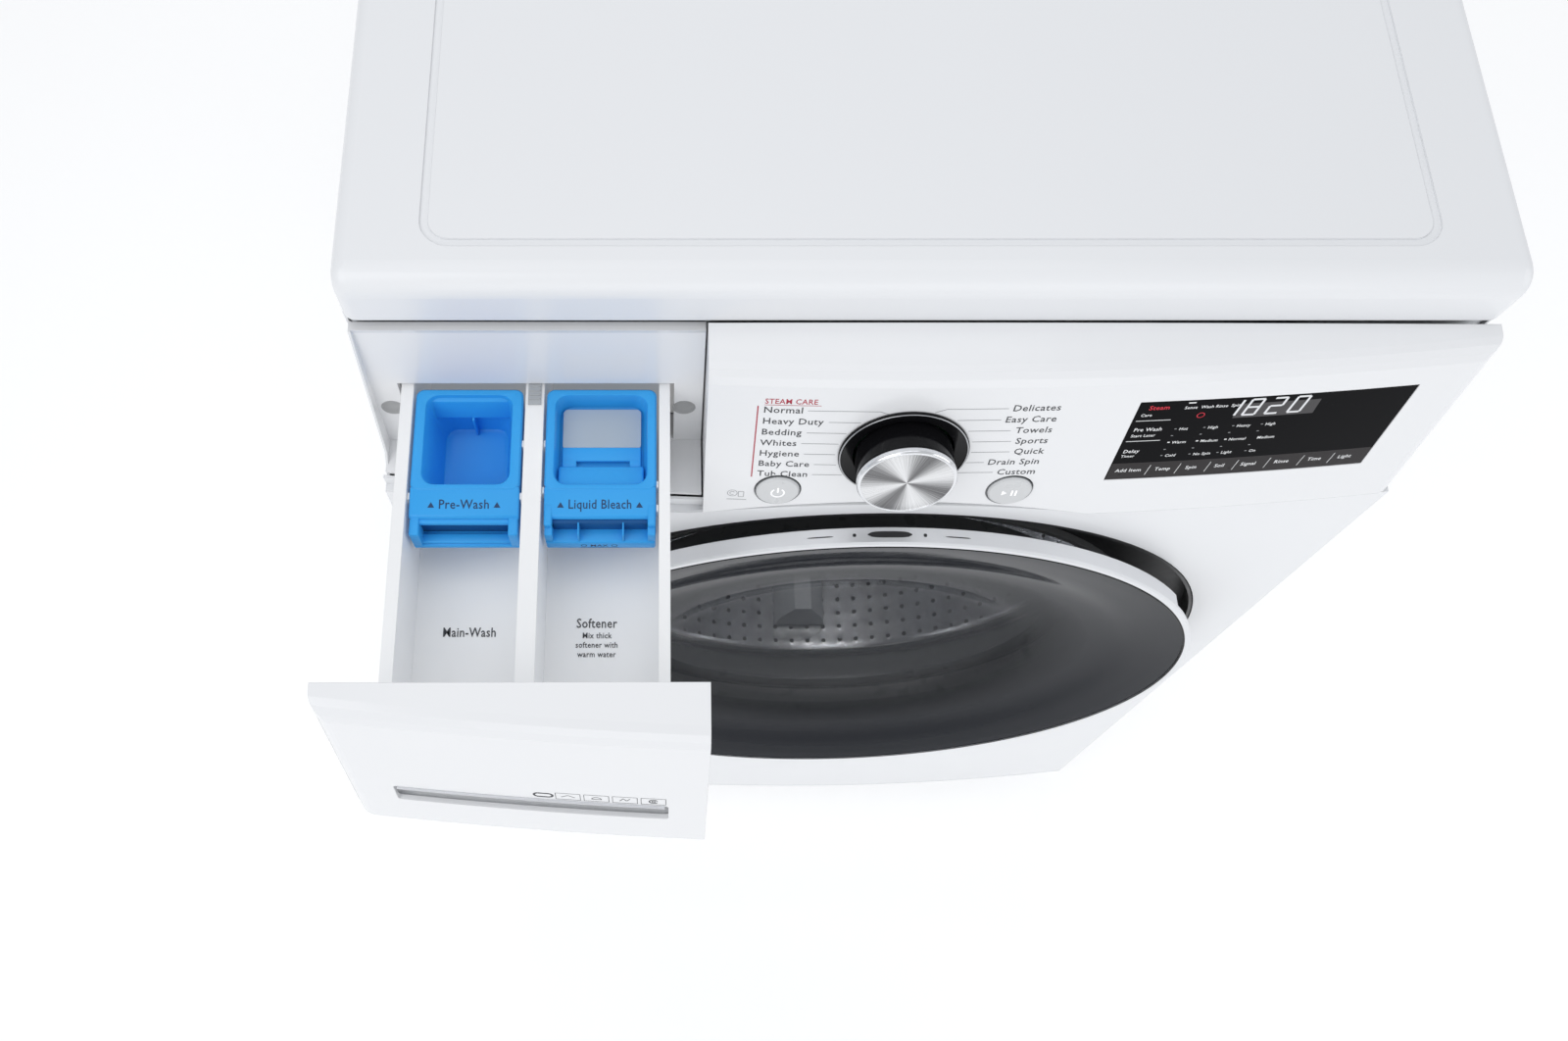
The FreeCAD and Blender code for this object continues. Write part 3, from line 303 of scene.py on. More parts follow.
def lathe(profile, segments=144):
    """Turns (radius, height) points about local Z."""
    bm = bmesh.new()
    turn = [2 * math.pi * k / segments for k in range(segments)]
    rings = []
    for r, h in profile:
        if r < 1e-6:
            rings.append([bm.verts.new((0, 0, h))] * segments)
        else:
            rings.append([bm.verts.new((r * math.cos(a), r * math.sin(a), h)) for a in turn])
    for low, high in zip(rings, rings[1:]):
        for k in range(segments):
            n = (k + 1) % segments
            corners = list(dict.fromkeys((low[k], low[n], high[n], high[k])))
            if len(corners) > 2:
                bm.faces.new(corners)
    return bm


def block(x0, x1, y0, y1, z0, z1, radius, segments=3):
    """Box with rounded edges."""
    bm = bmesh.new()
    corners = [bm.verts.new((x, y, z)) for x in (x0, x1) for y in (y0, y1) for z in (z0, z1)]
    for quad in ((0, 1, 3, 2), (4, 6, 7, 5), (0, 4, 5, 1), (2, 3, 7, 6), (0, 2, 6, 4), (1, 5, 7, 3)):
        bm.faces.new([corners[k] for k in quad])
    bmesh.ops.bevel(bm, geom=bm.edges[:], offset=radius, segments=segments, profile=0.5, affect="EDGES")
    return bm


def prism(outline, x0, x1, radius, segments=3):
    """Extrudes a (y, z) outline along X and rounds its edges."""
    bm = bmesh.new()
    left = [bm.verts.new((x0, y, z)) for y, z in outline]
    right = [bm.verts.new((x1, y, z)) for y, z in outline]
    bm.faces.new(left)
    bm.faces.new(right[::-1])
    for k in range(len(outline)):
        n = (k + 1) % len(outline)
        bm.faces.new((left[k], left[n], right[n], right[k]))
    bmesh.ops.recalc_face_normals(bm, faces=bm.faces[:])
    bmesh.ops.bevel(bm, geom=bm.edges[:], offset=radius, segments=segments, profile=0.5, affect="EDGES")
    return bm


def round_loop(x0, x1, y0, y1, z, radius, steps=6):
    """Points of a rectangle with rounded corners at one height."""
    points = []
    centres = ((x1 - radius, y1 - radius, 0), (x0 + radius, y1 - radius, 90),
               (x0 + radius, y0 + radius, 180), (x1 - radius, y0 + radius, 270))
    for cx, cy, start in centres:
        for k in range(steps + 1):
            a = math.radians(start + 90 * k / steps)
            points.append((cx + radius * math.cos(a), cy + radius * math.sin(a), z))
    return points


def loft(loops):
    """Skins a stack of equal loops and closes both ends."""
    bm = bmesh.new()
    rows = [[bm.verts.new(p) for p in loop] for loop in loops]
    for low, high in zip(rows, rows[1:]):
        for k in range(len(low)):
            n = (k + 1) % len(low)
            bm.faces.new((low[k], low[n], high[n], high[k]))
    bm.faces.new(rows[0][::-1])
    bm.faces.new(rows[-1])
    return bm


# ---------------------------------------------------------------- printed marks
BACKWARDS = (0, 1, 0)
DOWN = (0, 0, -1)
RAY_START = 2.0
PRINT_LIFT = 0.08 * MM
BOLDER = 0.010
LETTER_SPACE = 1.06
SQUEEZE = 0.96


def ray_target(obj):
    """Ray target made of an object's own mesh."""
    mesh = obj.data
    return BVHTree.FromPolygons([v.co for v in mesh.vertices], [tuple(p.vertices) for p in mesh.polygons])


def surface_tree(node):
    return ray_target(nodes[node])


def settle(bm, tree, direction, lift):
    """Drops every point along a direction onto the surface, and leaves it just proud."""
    way = Vector(direction)
    for v in bm.verts:
        start = v.co - way * RAY_START
        hit, normal, _, _ = tree.ray_cast(start, way)
        if hit is not None:
            v.co = hit - way * lift


def rule(points, width, closed=False):
    """Upright line through (x, z) points."""
    return stand(ribbon(points, width, closed), 0, 0)


def word(text, size, align="LEFT", widen=1.0):
    """Flat word in local X and Y, in metres, with its left, right or middle at zero."""
    curve = bpy.data.curves.new("word", "FONT")
    curve.body = text
    curve.size = size
    curve.align_x = align
    curve.offset = size * BOLDER
    curve.space_character = LETTER_SPACE
    curve.resolution_u = 2
    obj = bpy.data.objects.new("word", curve)
    mesh = bpy.data.meshes.new_from_object(obj)
    bm = bmesh.new()
    bm.from_mesh(mesh)
    bmesh.ops.scale(bm, vec=(widen * SQUEEZE, 1, 1), verts=bm.verts[:])
    bpy.data.meshes.remove(mesh)
    bpy.data.objects.remove(obj)
    bpy.data.curves.remove(curve)
    return bm


def extent(bm):
    """Left and right ends of a flat mark."""
    xs = [v.co.x for v in bm.verts]
    return min(xs), max(xs)


def stand(bm, x, z):
    """Turns a flat mark upright, facing the front, with its origin at (x, z)."""
    for v in bm.verts:
        v.co = Vector((x + v.co.x, 0, z + v.co.y))
    return bm


def lay(bm, x, y):
    """Lays a flat mark down, read from the front, with its origin at (x, y)."""
    for v in bm.verts:
        v.co = Vector((x + v.co.x, y + v.co.y, 0))
    return bm


def ribbon(points, width, closed=False, step=0.003):
    """Thin flat line through (x, y) points."""
    bm = bmesh.new()
    ends = points + [points[0]] if closed else points
    for (ax, ay), (bx, by) in zip(ends, ends[1:]):
        length = math.hypot(bx - ax, by - ay)
        nx, ny = -(by - ay) / length * width / 2, (bx - ax) / length * width / 2
        count = max(1, round(length / step))
        previous = None
        for k in range(count + 1):
            x, y = ax + (bx - ax) * k / count, ay + (by - ay) * k / count
            pair = (bm.verts.new((x + nx, y + ny, 0)), bm.verts.new((x - nx, y - ny, 0)))
            if previous:
                bm.faces.new((previous[0], previous[1], pair[1], pair[0]))
            previous = pair
    return bm


def arc_points(cx, cy, radius, start, end, count=16):
    turn = [math.radians(start + (end - start) * k / count) for k in range(count + 1)]
    return [(cx + radius * math.cos(a), cy + radius * math.sin(a)) for a in turn]


def filled_area(x0, x1, y0, y1, step=0.006):
    """Flat filled area divided finely enough to follow a bowed surface."""
    bm = bmesh.new()
    nx, ny = max(1, round((x1 - x0) / step)), max(1, round((y1 - y0) / step))
    grid = [[bm.verts.new((x0 + (x1 - x0) * i / nx, y0 + (y1 - y0) * j / ny, 0)) for i in range(nx + 1)]
            for j in range(ny + 1)]
    for j in range(ny):
        for i in range(nx):
            bm.faces.new((grid[j][i], grid[j][i + 1], grid[j + 1][i + 1], grid[j + 1][i]))
    return bm


def print_on(name, marks, tree, direction, mat, body, lift=PRINT_LIFT):
    """Lays a group of marks on a surface as one thin piece."""
    bm = bmesh.new()
    for mark in marks:
        merge(bm, mark)
    settle(bm, tree, direction, lift)
    return piece(name, bm, mat, body)


INK = surface("panel_ink", (0.055, 0.058, 0.065), 0.5, depth=0.05)
INK_RED = surface("panel_ink_red", (0.45, 0.02, 0.05), 0.5, depth=0.05)
INK_GREY = surface("panel_ink_grey", (0.30, 0.31, 0.32), 0.5, depth=0.05)
INK_WHITE = surface("panel_ink_white", (0.80, 0.81, 0.82), 0.5, depth=0.05, Emission_Color=(1, 1, 1, 1),
                    Emission_Strength=0.12)
LIT_RED = surface("lit_red", (0.55, 0.01, 0.03), 0.5, depth=0.05, Emission_Color=(1, 0.03, 0.08, 1),
                  Emission_Strength=0.18)
STRIP = surface("key_strip", (0.030, 0.027, 0.028), 0.30, depth=0.02, Specular_IOR_Level=0.1)
SEGMENT = surface("lit_segment", (0.62, 0.63, 0.65), 0.4, depth=0.02, Emission_Color=(1, 1, 1, 1),
                  Emission_Strength=0.15)
GLASS_PAD = surface("digit_ground", (0.075, 0.072, 0.075), 0.3, depth=0.02, Specular_IOR_Level=0.1)
# Grey for the screw covers: painted shade of the pockets in the recess wall.
COVER_PAINTED_SHADE = surface("screw_cover_painted_shade", (0.42, 0.425, 0.43), 0.35, depth=0.03)
BLUE_INK = surface("cup_ink", (0.006, 0.045, 0.14), 0.5, depth=0.05)
KEY_MARK = surface("key_mark", (0.97, 0.97, 0.98), 0.3, depth=0.02, Emission_Color=(1, 1, 1, 1),
                   Emission_Strength=0.25)

WORD_SIZE = 7.9 * MM
WORD_WIDEN = 0.97
LINE_WIDTH = 0.45 * MM
ROW_GAP = 10.3 * MM

knob_place = Vector(joints["knob_turn"]["pos_m"])
knob_axis = Vector(joints["knob_turn"]["axis"])
wash_pose = axis_pose(joints["drum_spin"]["pos_m"], joints["drum_spin"]["axis"])
bezel_radius = 41 * MM
lean = math.atan2(knob_axis.z, -knob_axis.y)


def bezel_edge(z, gap=1.6 * MM):
    """Half width of the knob's bezel at a height on the panel."""
    rise = (z - knob_place.z) / math.cos(lean)
    return math.sqrt(max((bezel_radius + gap) ** 2 - rise * rise, 0))


def cycle_names():
    """Cycle words in two columns, each with a leader line to the knob."""
    grey, lines = [], []
    columns = (
        (-1, -92.6 * MM, 917.0 * MM,
         ("Normal", "Heavy Duty", "Bedding", "Whites", "Hygiene", "Baby Care", "Tub Clean")),
        (1, 86.6 * MM, 919.3 * MM,
         ("Delicates", "Easy Care", "Towels", "Sports", "Quick", "Drain Spin", "Custom")),
    )
    for side, x, top, names in columns:
        for k, name in enumerate(names):
            z = top - k * ROW_GAP
            mark = word(name, WORD_SIZE, "LEFT" if side < 0 else "RIGHT", WORD_WIDEN)
            low, high = extent(mark)
            inner = x + (high if side < 0 else low) - side * 3 * MM
            grey.append(stand(mark, x, z))
            level = z + 2.4 * MM
            reach = bezel_edge(level)
            if reach > 20 * MM:
                route = [(inner, level), (knob_place.x + side * reach, level)]
            else:
                route = [(inner, level), (knob_place.x + side * 20 * MM, level),
                         (knob_place.x + side * 13 * MM, level - 3 * MM)]
            lines.append(rule(route, LINE_WIDTH))
    return grey, lines


def service_icon(x, z):
    """A round signal mark beside a small upright device, over a line."""
    ring = arc_points(x - 2.5 * MM, z, 3.2 * MM, 0, 360, 24)
    arrow = arc_points(x - 2.5 * MM, z, 1.6 * MM, 30, 300, 14)
    left, right, base, top = x + 1.5 * MM, x + 5 * MM, z - 3.6 * MM, z + 1.8 * MM
    device = [(left, base), (right, base), (right, top), (left, top)]
    under = [(x - 6 * MM, z - 6.6 * MM), (x + 7 * MM, z - 6.6 * MM)]
    thin = 0.4 * MM
    return [rule(ring, thin), rule(arrow, thin), rule(device, thin, closed=True), rule(under, 0.5 * MM)]


def panel_prints():
    face = surface_tree("control_fascia")
    grey, lines = cycle_names()
    lines += service_icon(-105 * MM, 836 * MM)
    print_on("cycle_words", grey, face, BACKWARDS, INK, "cabinet")
    print_on("leader_lines", lines, face, BACKWARDS, INK_GREY, "cabinet")
    heading = stand(word("STEAM CARE", 6.4 * MM, "LEFT", 0.86), -92.2 * MM, 925.2 * MM)
    underline = rule(metres([(-92.2, 924.0), (-58.0, 924.0)]), 0.4 * MM)
    side_bar = rule(metres([(-96, 854), (-96, 923)]), 0.8 * MM)
    marks = [heading, underline, side_bar]
    print_on("steam_marks", marks, face, BACKWARDS, INK_RED, "cabinet")


DIGITS = {
    "1": ("right_high", "right_low"),
    "8": ("top", "mid", "low", "left_high", "right_high", "left_low", "right_low"),
    "2": ("top", "mid", "low", "right_high", "left_low"),
    "0": ("top", "low", "left_high", "left_low", "right_high", "right_low"),
}


def digit_segments(x, z, width, tall, digit):
    """Seven bar segments of one leaning digit."""
    slant = tall * 0.12
    half = tall / 2
    bars = {
        "top": ((0, tall), (width, tall)), "mid": ((0, half), (width, half)), "low": ((0, 0), (width, 0)),
        "left_high": ((0, half), (0, tall)), "right_high": ((width, half), (width, tall)),
        "left_low": ((0, 0), (0, half)), "right_low": ((width, 0), (width, half)),
    }
    out = []
    for name in DIGITS[digit]:
        ends = [(x + px + slant * pz / tall, z + pz) for px, pz in bars[name]]
        out.append(rule(ends, 1.6 * MM))
    return out


def display_prints():
    """Everything shown on the display window, placed in millimetres from its lower left corner."""
    pane = surface_tree("display_window")
    low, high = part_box("display_window")
    left, right, base = low.x, high.x, low.z
    small, tiny = 4.6 * MM, 3.6 * MM
    column = 18

    def put(text, x, z, size):
        return stand(word(text, size, "LEFT", 0.95), left + x * MM, base + z * MM)

    def dash(x0, x1, z, width):
        return rule([(left + x0 * MM, base + z * MM), (left + x1 * MM, base + z * MM)], width * MM)

    def show(name, marks, mat, lift=0.1 * MM):
        print_on(name, marks, pane, BACKWARDS, mat, "cabinet", lift)

    strip = stand(filled_area(left + 0.4 * MM, right - 0.4 * MM, base + 0.3 * MM, base + 16.5 * MM), 0, 0)
    show("key_strip", [strip], STRIP, 0.06 * MM)
    key_names = (("Add Item", 4.5), ("Temp", 30), ("Spin", 50), ("Soil", 69), ("Signal", 86), ("Rinse", 108),
                 ("Time", 130), ("Light", 150))
    marks = [put(text, x, 7.5, small) for text, x in key_names]
    for x in (25, 44.5, 64, 82, 103, 125, 145):
        slash = [(left + x * MM, base + 3.5 * MM), (left + (x + 1.2) * MM, base + 13.5 * MM)]
        marks.append(rule(slash, 0.35 * MM))
    side_names = (("Care", 62.0, tiny), ("Pre Wash", 48, small), ("Start Later", 42.5, tiny),
                  ("Delay", 27, small), ("Timer", 22.5, tiny))
    marks += [put(text, 3.5, z, size) for text, z, size in side_names]
    steps = (("Sense", 28.5), ("Wash", 38.5), ("Rinse", 47.5), ("Spin", 57))
    marks += [put(text, x, 67.5, tiny) for text, x in steps]
    rows = ((47.5, ("Hot", "High", "Heavy", "High")), (34.5, ("Warm", "Medium", "Normal", "Medium")),
            (21.5, ("Cold", "No Spin", "Light", "On")))
    for z, names in rows:
        marks += [put(name, 32 + column * k, z, tiny) for k, name in enumerate(names)]
    marks += [dash(29 + column * k, 30.6 + column * k, 36.0, 1.0) for k in range(3)]
    marks.append(dash(29.5, 34, 73, 1.0))
    marks += [dash(2, 23.5, z, 0.5) for z in (58.0, 38.5)]
    show("display_words", marks, INK_WHITE)
    dim_rows = (49.0, 42.5, 29.0, 23.0)
    dim = [dash(29 + column * k, 30.4 + column * k, z, 0.7) for z in dim_rows for k in range(4)]
    show("display_dim_marks", dim, INK_GREY)
    lock = arc_points(left + 41 * MM, base + 61 * MM, 2.2 * MM, 0, 360, 20)
    show("display_red_marks", [put("Steam", 6.5, 68, 5.4 * MM), rule(lock, 0.5 * MM)], LIT_RED)
    ground = stand(filled_area(left + 62 * MM, left + 112 * MM, base + 56.5 * MM, base + 76 * MM), 0, 0)
    show("digit_ground", [ground], GLASS_PAD, 0.06 * MM)
    digits = digit_segments(left + 62 * MM, base + 59 * MM, 0.1 * MM, 14 * MM, "1")
    for k, digit in enumerate("820"):
        digits += digit_segments(left + (67 + 14 * k) * MM, base + 59 * MM, 7.5 * MM, 14 * MM, digit)
    show("display_digits", digits, SEGMENT)


# ---------------------------------------------------------------- knob and keys
FAN_BEAMS = 4
KNOB_SEGMENTS = 160


def painted_highlight_face(name):
    """Turned metal with radial grain and painted highlights: light and dark bands in its colour fan out from the
    centre.
    """
    mat = surface(name, (0.70, 0.705, 0.715), 0.24, metal=1.0, depth=0.02, shift=0.04)
    tree = mat.node_tree
    shader = tree.nodes["Principled BSDF"]
    shader.inputs["Anisotropic"].default_value = 0.9
    coords = add(tree, "ShaderNodeTexCoord")
    fan = add(tree, "ShaderNodeTexGradient", gradient_type="RADIAL")
    tree.links.new(coords.outputs["Object"], fan.inputs["Vector"])
    wave = add(tree, "ShaderNodeMath", operation="MULTIPLY")
    wave.inputs[1].default_value = FAN_BEAMS * 2 * math.pi
    tree.links.new(fan.outputs["Fac"], wave.inputs[0])
    swing = add(tree, "ShaderNodeMath", operation="SINE")
    tree.links.new(wave.outputs["Value"], swing.inputs[0])
    jitter = add(tree, "ShaderNodeTexNoise", Scale=9.0, Detail=2.0, noise_dimensions="1D")
    tree.links.new(wave.outputs["Value"], jitter.inputs["W"])
    both = add(tree, "ShaderNodeMath", operation="MULTIPLY_ADD")
    both.inputs[1].default_value = 0.5
    tree.links.new(swing.outputs["Value"], both.inputs[0])
    tree.links.new(jitter.outputs["Fac"], both.inputs[2])
    share = remap(tree, both.outputs["Value"], 0.0, 1.0, 0.0, 1.0)
    # Painted highlight: the colour swings between dark and light in bands fanning out from the centre.
    painted_highlight_tone = blend_colours(tree, share, (0.16, 0.16, 0.165), (0.80, 0.805, 0.815))
    tree.links.new(painted_highlight_tone, shader.inputs["Base Color"])
    tangent = add(tree, "ShaderNodeTangent", direction_type="RADIAL", axis="Z")
    tree.links.new(tangent.outputs["Tangent"], shader.inputs["Tangent"])
    return mat


def knob_pieces():
    pose = axis_pose(knob_place, knob_axis)
    bezel = metres([(31.4, -4), (31.6, 0.3), (39.0, 1.6), (39.3, 2.1), (40.2, 2.2), (41, 1.5), (41, 0.15),
                    (35.4, 0.1), (31.4, -4)])
    dish = fillet(bezel[:-1], 0.35 * MM, 3) + [bezel[-1]]
    rim = metres([(39.5, 2.12), (39.7, 2.45), (40.2, 2.45), (40.4, 2.12)])
    side = metres([(30.2, -1), (30.6, 2.4), (30.9, 18.4), (30.4, 18.8), (30.4, 19.3)])
    top = metres([(30.4, 19.3), (31.0, 19.6), (31.0, 22.4), (30.2, 23.6), (29.0, 23.9), (28.6, 23.5)])
    disc = metres([(28.6, 23.5), (28.2, 23.3), (14, 23.35), (0, 23.4)])
    parts = (
        ("knob_dish", dish, BEZEL_BLACK, "cabinet", "gloss_black", ("knob_bezel",)),
        ("knob_dish_rim", rim, SCREW, "cabinet", "knob_metal", ()),
        ("knob_skirt", side, BEZEL_BLACK, "knob", "gloss_black", ("knob_cap",)),
        ("knob_rim", fillet(top, 0.4 * MM, 3), CHROME, "knob", "knob_metal", ()),
        ("knob_face", disc, painted_highlight_face("knob_face_painted_highlights"), "knob", "knob_metal", ()),
    )
    for name, profile, mat, body, slot, replaced in parts:
        piece(name, lathe(profile, KNOB_SEGMENTS), mat, body, replaced, pose=pose)


def key_strokes(body):
    """Flat strokes of the power mark, or of the start and pause mark."""
    if body == "power_key":
        return [ribbon(arc_points(0, 0, 4.2 * MM, 125, 415, 24), 1.1 * MM),
                ribbon(metres([(0, 0.4), (0, 5.4)]), 1.1 * MM)]
    bars = ((-4.5, 2.0, 1.0), (-3.5, 1.25, 1.0), (-2.5, 0.5, 1.0), (1.6, -2.8, 1.2), (4.2, -2.8, 1.2))
    return [ribbon(metres([(x, half), (x, -half)]), width * MM) for x, half, width in bars]


def key_pieces():
    """A ring around each key, and the mark on the key's face."""
    axis = -Vector(joints["power_press"]["axis"])
    ring = metres([(14.2, -3), (14.25, 0.4), (14.6, 0.7), (14.95, 0.5), (15.0, -3)])
    face = surface_tree("control_fascia")
    for body, node in (("power_key", "power_button"), ("start_key", "start_button")):
        low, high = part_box(node)
        centre = (low + high) / 2
        ring_pose = axis_pose(key_seat(face, centre), axis)
        piece(body + "_ring", lathe(ring, 96), KEY_RING, "cabinet", pose=ring_pose)
        marks = [stand(stroke, centre.x, centre.z) for stroke in key_strokes(body)]
        print_on(body + "_mark", marks, surface_tree(node), BACKWARDS, KEY_MARK, body)


def key_seat(face, centre):
    """Point on the panel plane at a key's centre, from hits beside its hole."""
    hits = []
    for offset in (-19 * MM, 19 * MM):
        hit = face.ray_cast(Vector((centre.x + offset, -1.0, centre.z)), Vector(BACKWARDS))[0]
        hits.append(hit)
    return (hits[0] + hits[1]) / 2


# ---------------------------------------------------------------- dispenser drawer
def cup_frame(node):
    """A cup's box, with makers of blocks and outlines in millimetres from its front edge and its top."""
    low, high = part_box(node)

    def solid(x0, x1, ys, drops, radius, segments=3):
        y0, y1 = [low.y + y * MM for y in ys]
        z0, z1 = [high.z - drop * MM for drop in drops]
        return block(x0, x1, y0, y1, z0, z1, radius * MM, segments)

    def outline(points):
        return [(low.y + y * MM, high.z - drop * MM) for y, drop in points]

    return low, high, solid, outline


def cup_body(node, wall, floor_drop, front_slope):
    """Tapered basin with a flat rim, its front plate and side cheeks."""
    low, high, _, outline = cup_frame(node)
    x0, x1, y1, top = low.x, high.x, high.y, high.z
    basin = low.y + 30 * MM
    loops = [
        round_loop(x0 + 2 * MM, x1 - 2 * MM, basin + 2 * MM, y1 - 2 * MM, low.z, 5 * MM),
        round_loop(x0, x1, basin - 1 * MM, y1, top - 1.2 * MM, 5 * MM),
        round_loop(x0 + 1 * MM, x1 - 1 * MM, basin, y1 - 1 * MM, top, 4.4 * MM),
    ]
    sink = [(0.0, 0.0, 8.0), (0.5, 0.25, 8.0), (0.9, 1.2, 8.0),
            (front_slope * 0.55, floor_drop * 0.55, 9.0), (front_slope, floor_drop - 3.0, 9.0),
            (front_slope + 1.0, floor_drop - 0.8, 8.0), (front_slope + 3.2, floor_drop, 7.0)]
    for inset, drop, corner in sink:
        side = (wall + inset) * MM
        front = (2.2 + inset * 1.3) * MM
        rear = (4.0 + inset * 0.6) * MM
        loops.append(round_loop(x0 + side, x1 - side, basin + front, y1 - rear, top - drop * MM, corner * MM))
    bm = loft(loops)
    apron = outline([(31.5, 0.2), (12.5, 2.0), (11.0, 4.0), (12.0, 6.5), (31.5, 5.0)])
    merge(bm, prism(apron, x0 + 0.2 * MM, x1 - 0.2 * MM, 0.9 * MM))
    cheek = outline([(31.5, 4), (12, 5), (9, 24), (31.5, 34)])
    merge(bm, prism(cheek, x0 + 0.3 * MM, x0 + 2.3 * MM, 0.5 * MM, 2))
    merge(bm, prism(cheek, x1 - 2.3 * MM, x1 - 0.3 * MM, 0.5 * MM, 2))
    return bm


def prewash_insert():
    bm = cup_body("prewash_cup", 6.0, 42.0, 6.5)
    low, high, solid, outline = cup_frame("prewash_cup")
    x0, x1 = low.x, high.x
    deep = (high.y - low.y) / MM
    step = outline([(deep - 3.5, 3), (deep - 7, 4), (deep - 11, 19), (deep - 10, 21), (deep - 4, 21)])
    merge(bm, prism(step, x0 + 8 * MM, x1 - 8 * MM, 0.8 * MM))
    middle = (x0 + x1) / 2
    merge(bm, solid(middle - 0.7 * MM, middle + 0.7 * MM, (deep - 13, deep - 5), (41, 19), 0.3, 2))
    for x in (x0 + 0.6 * MM, x1 - 6.6 * MM):
        merge(bm, solid(x, x + 6 * MM, (0.4, 13), (25.4, 3.4), 1.0))
    merge(bm, solid(x0 + 0.6 * MM, x1 - 0.6 * MM, (0.2, 13), (26, 21.5), 1.2))
    merge(bm, solid(x0 + 5 * MM, x1 - 5 * MM, (1.5, 8), (21.8, 19), 1.2))
    merge(bm, solid(x0 + 0.6 * MM, x1 - 0.6 * MM, (8.5, 13), (8.4, 4.6), 1.2))
    # Back wall inside the grip, in the darker blue: painted shade of the hollow.
    grip_shade_wall = solid(x0 + 5 * MM, x1 - 5 * MM, (10, 14), (22, 5), 0.6)
    piece("prewash_grip_painted_shade", grip_shade_wall, CUP_PAINTED_SHADE, "prewash_insert")
    piece("prewash_insert_shell", bm, CUP_BLUE, "prewash_insert", ("prewash_cup",), angle=30)


def bleach_insert():
    bm = cup_body("bleach_cup", 5.0, 14.5, 2.4)
    low, high, solid, outline = cup_frame("bleach_cup")
    x0, x1 = low.x, high.x
    shelf = outline([(33, 4.5), (49, 8.5), (49.5, 14), (33, 14)])
    merge(bm, prism(shelf, x0 + 8 * MM, x1 - 8 * MM, 1.4 * MM))
    left, right, ledge = x0 + 10 * MM, x1 - 10 * MM, (13, 10.6)
    merge(bm, solid(left, right, (53.5, 63), ledge, 0.5))
    merge(bm, solid(left, x0 + 19 * MM, (49, 54), ledge, 0.5))
    merge(bm, solid(x1 - 17 * MM, right, (49, 54), ledge, 0.5))
    merge(bm, solid(x0 + 0.6 * MM, x1 - 0.6 * MM, (0.2, 13), (26, 15.5), 1.4))
    ribs = ((x0 + 0.6 * MM, x0 + 5.4 * MM), (x0 + 21 * MM, x0 + 22 * MM),
            (x1 - 21 * MM, x1 - 20 * MM), (x1 - 5.4 * MM, x1 - 0.6 * MM))
    for a, b in ribs:
        merge(bm, solid(a, b, (1, 13), (18, 5), 0.4, 2))
    for x in (x0 + 0.4 * MM, x1 - 5.4 * MM):
        merge(bm, solid(x, x + 5 * MM, (6, 20), (12, 1.2), 1.2))
    # Back wall inside the grip, in the darker blue: painted shade of the hollow.
    grip_shade_wall = solid(x0 + 5.2 * MM, x1 - 5.2 * MM, (9, 14), (16, 5), 0.6)
    piece("bleach_grip_painted_shade", grip_shade_wall, CUP_PAINTED_SHADE, "bleach_insert")
    piece("bleach_insert_shell", bm, CUP_BLUE, "bleach_insert", ("bleach_cup",), angle=30)
    pane = loft([round_loop(left, right, low.y + 62 * MM, high.y - 9 * MM, high.z - drop * MM, 3 * MM)
                 for drop in (12.4, 11.2)])
    piece("bleach_pane", pane, SLOT_LOOKS["cup_window"], "bleach_insert", ("bleach_window",))


def level_mark(x, z):
    """The word MAX between two small round marks, over a line."""
    marks = [word("MAX", 5.0 * MM, "CENTER", 1.05)]
    for side in (-1, 1):
        marks.append(ribbon(arc_points(side * 9.5 * MM, 1.7 * MM, 1.7 * MM, 0, 360, 16), 0.5 * MM))
    marks.append(ribbon([(-12 * MM, -1.8 * MM), (12 * MM, -1.8 * MM)], 0.35 * MM))
    return [stand(m, x, z) for m in marks]


def triangle_mark(x, y, size):
    bm = bmesh.new()
    bm.faces.new([bm.verts.new(p) for p in ((-size / 2, 0, 0), (size / 2, 0, 0), (0, size * 0.85, 0))])
    return lay(bm, x, y)


def screw_covers():
    """Shallow round covers set in the recess wall over the two screws; their grey is painted shade of the screw
    pockets.
    """
    low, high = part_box("recess_screws")
    wall = surface_tree("recess_frame")
    for side, x in (("left", low.x + 6.6 * MM), ("right", high.x - 6.6 * MM)):
        z = (low.z + high.z) / 2
        beside = wall.ray_cast(Vector((x, -1.0, z + 9 * MM)), Vector(BACKWARDS))[0]
        slope = wall.ray_cast(Vector((x, -1.0, z - 9 * MM)), Vector(BACKWARDS))[0]
        middle = (beside + slope) / 2
        axis = (beside - slope).cross(Vector((1, 0, 0)))
        axis = axis if axis.y < 0 else -axis
        dish = [(0, -1.6), (4.6, -1.6), (5.8, -1.1), (6.7, -0.1), (7.0, 0.15), (7.5, 0.12), (7.7, -0.05)]
        piece("screw_cover_" + side, lathe(metres(dish), 64), COVER_PAINTED_SHADE, "cabinet",
              pose=axis_pose(middle, axis.normalized()))


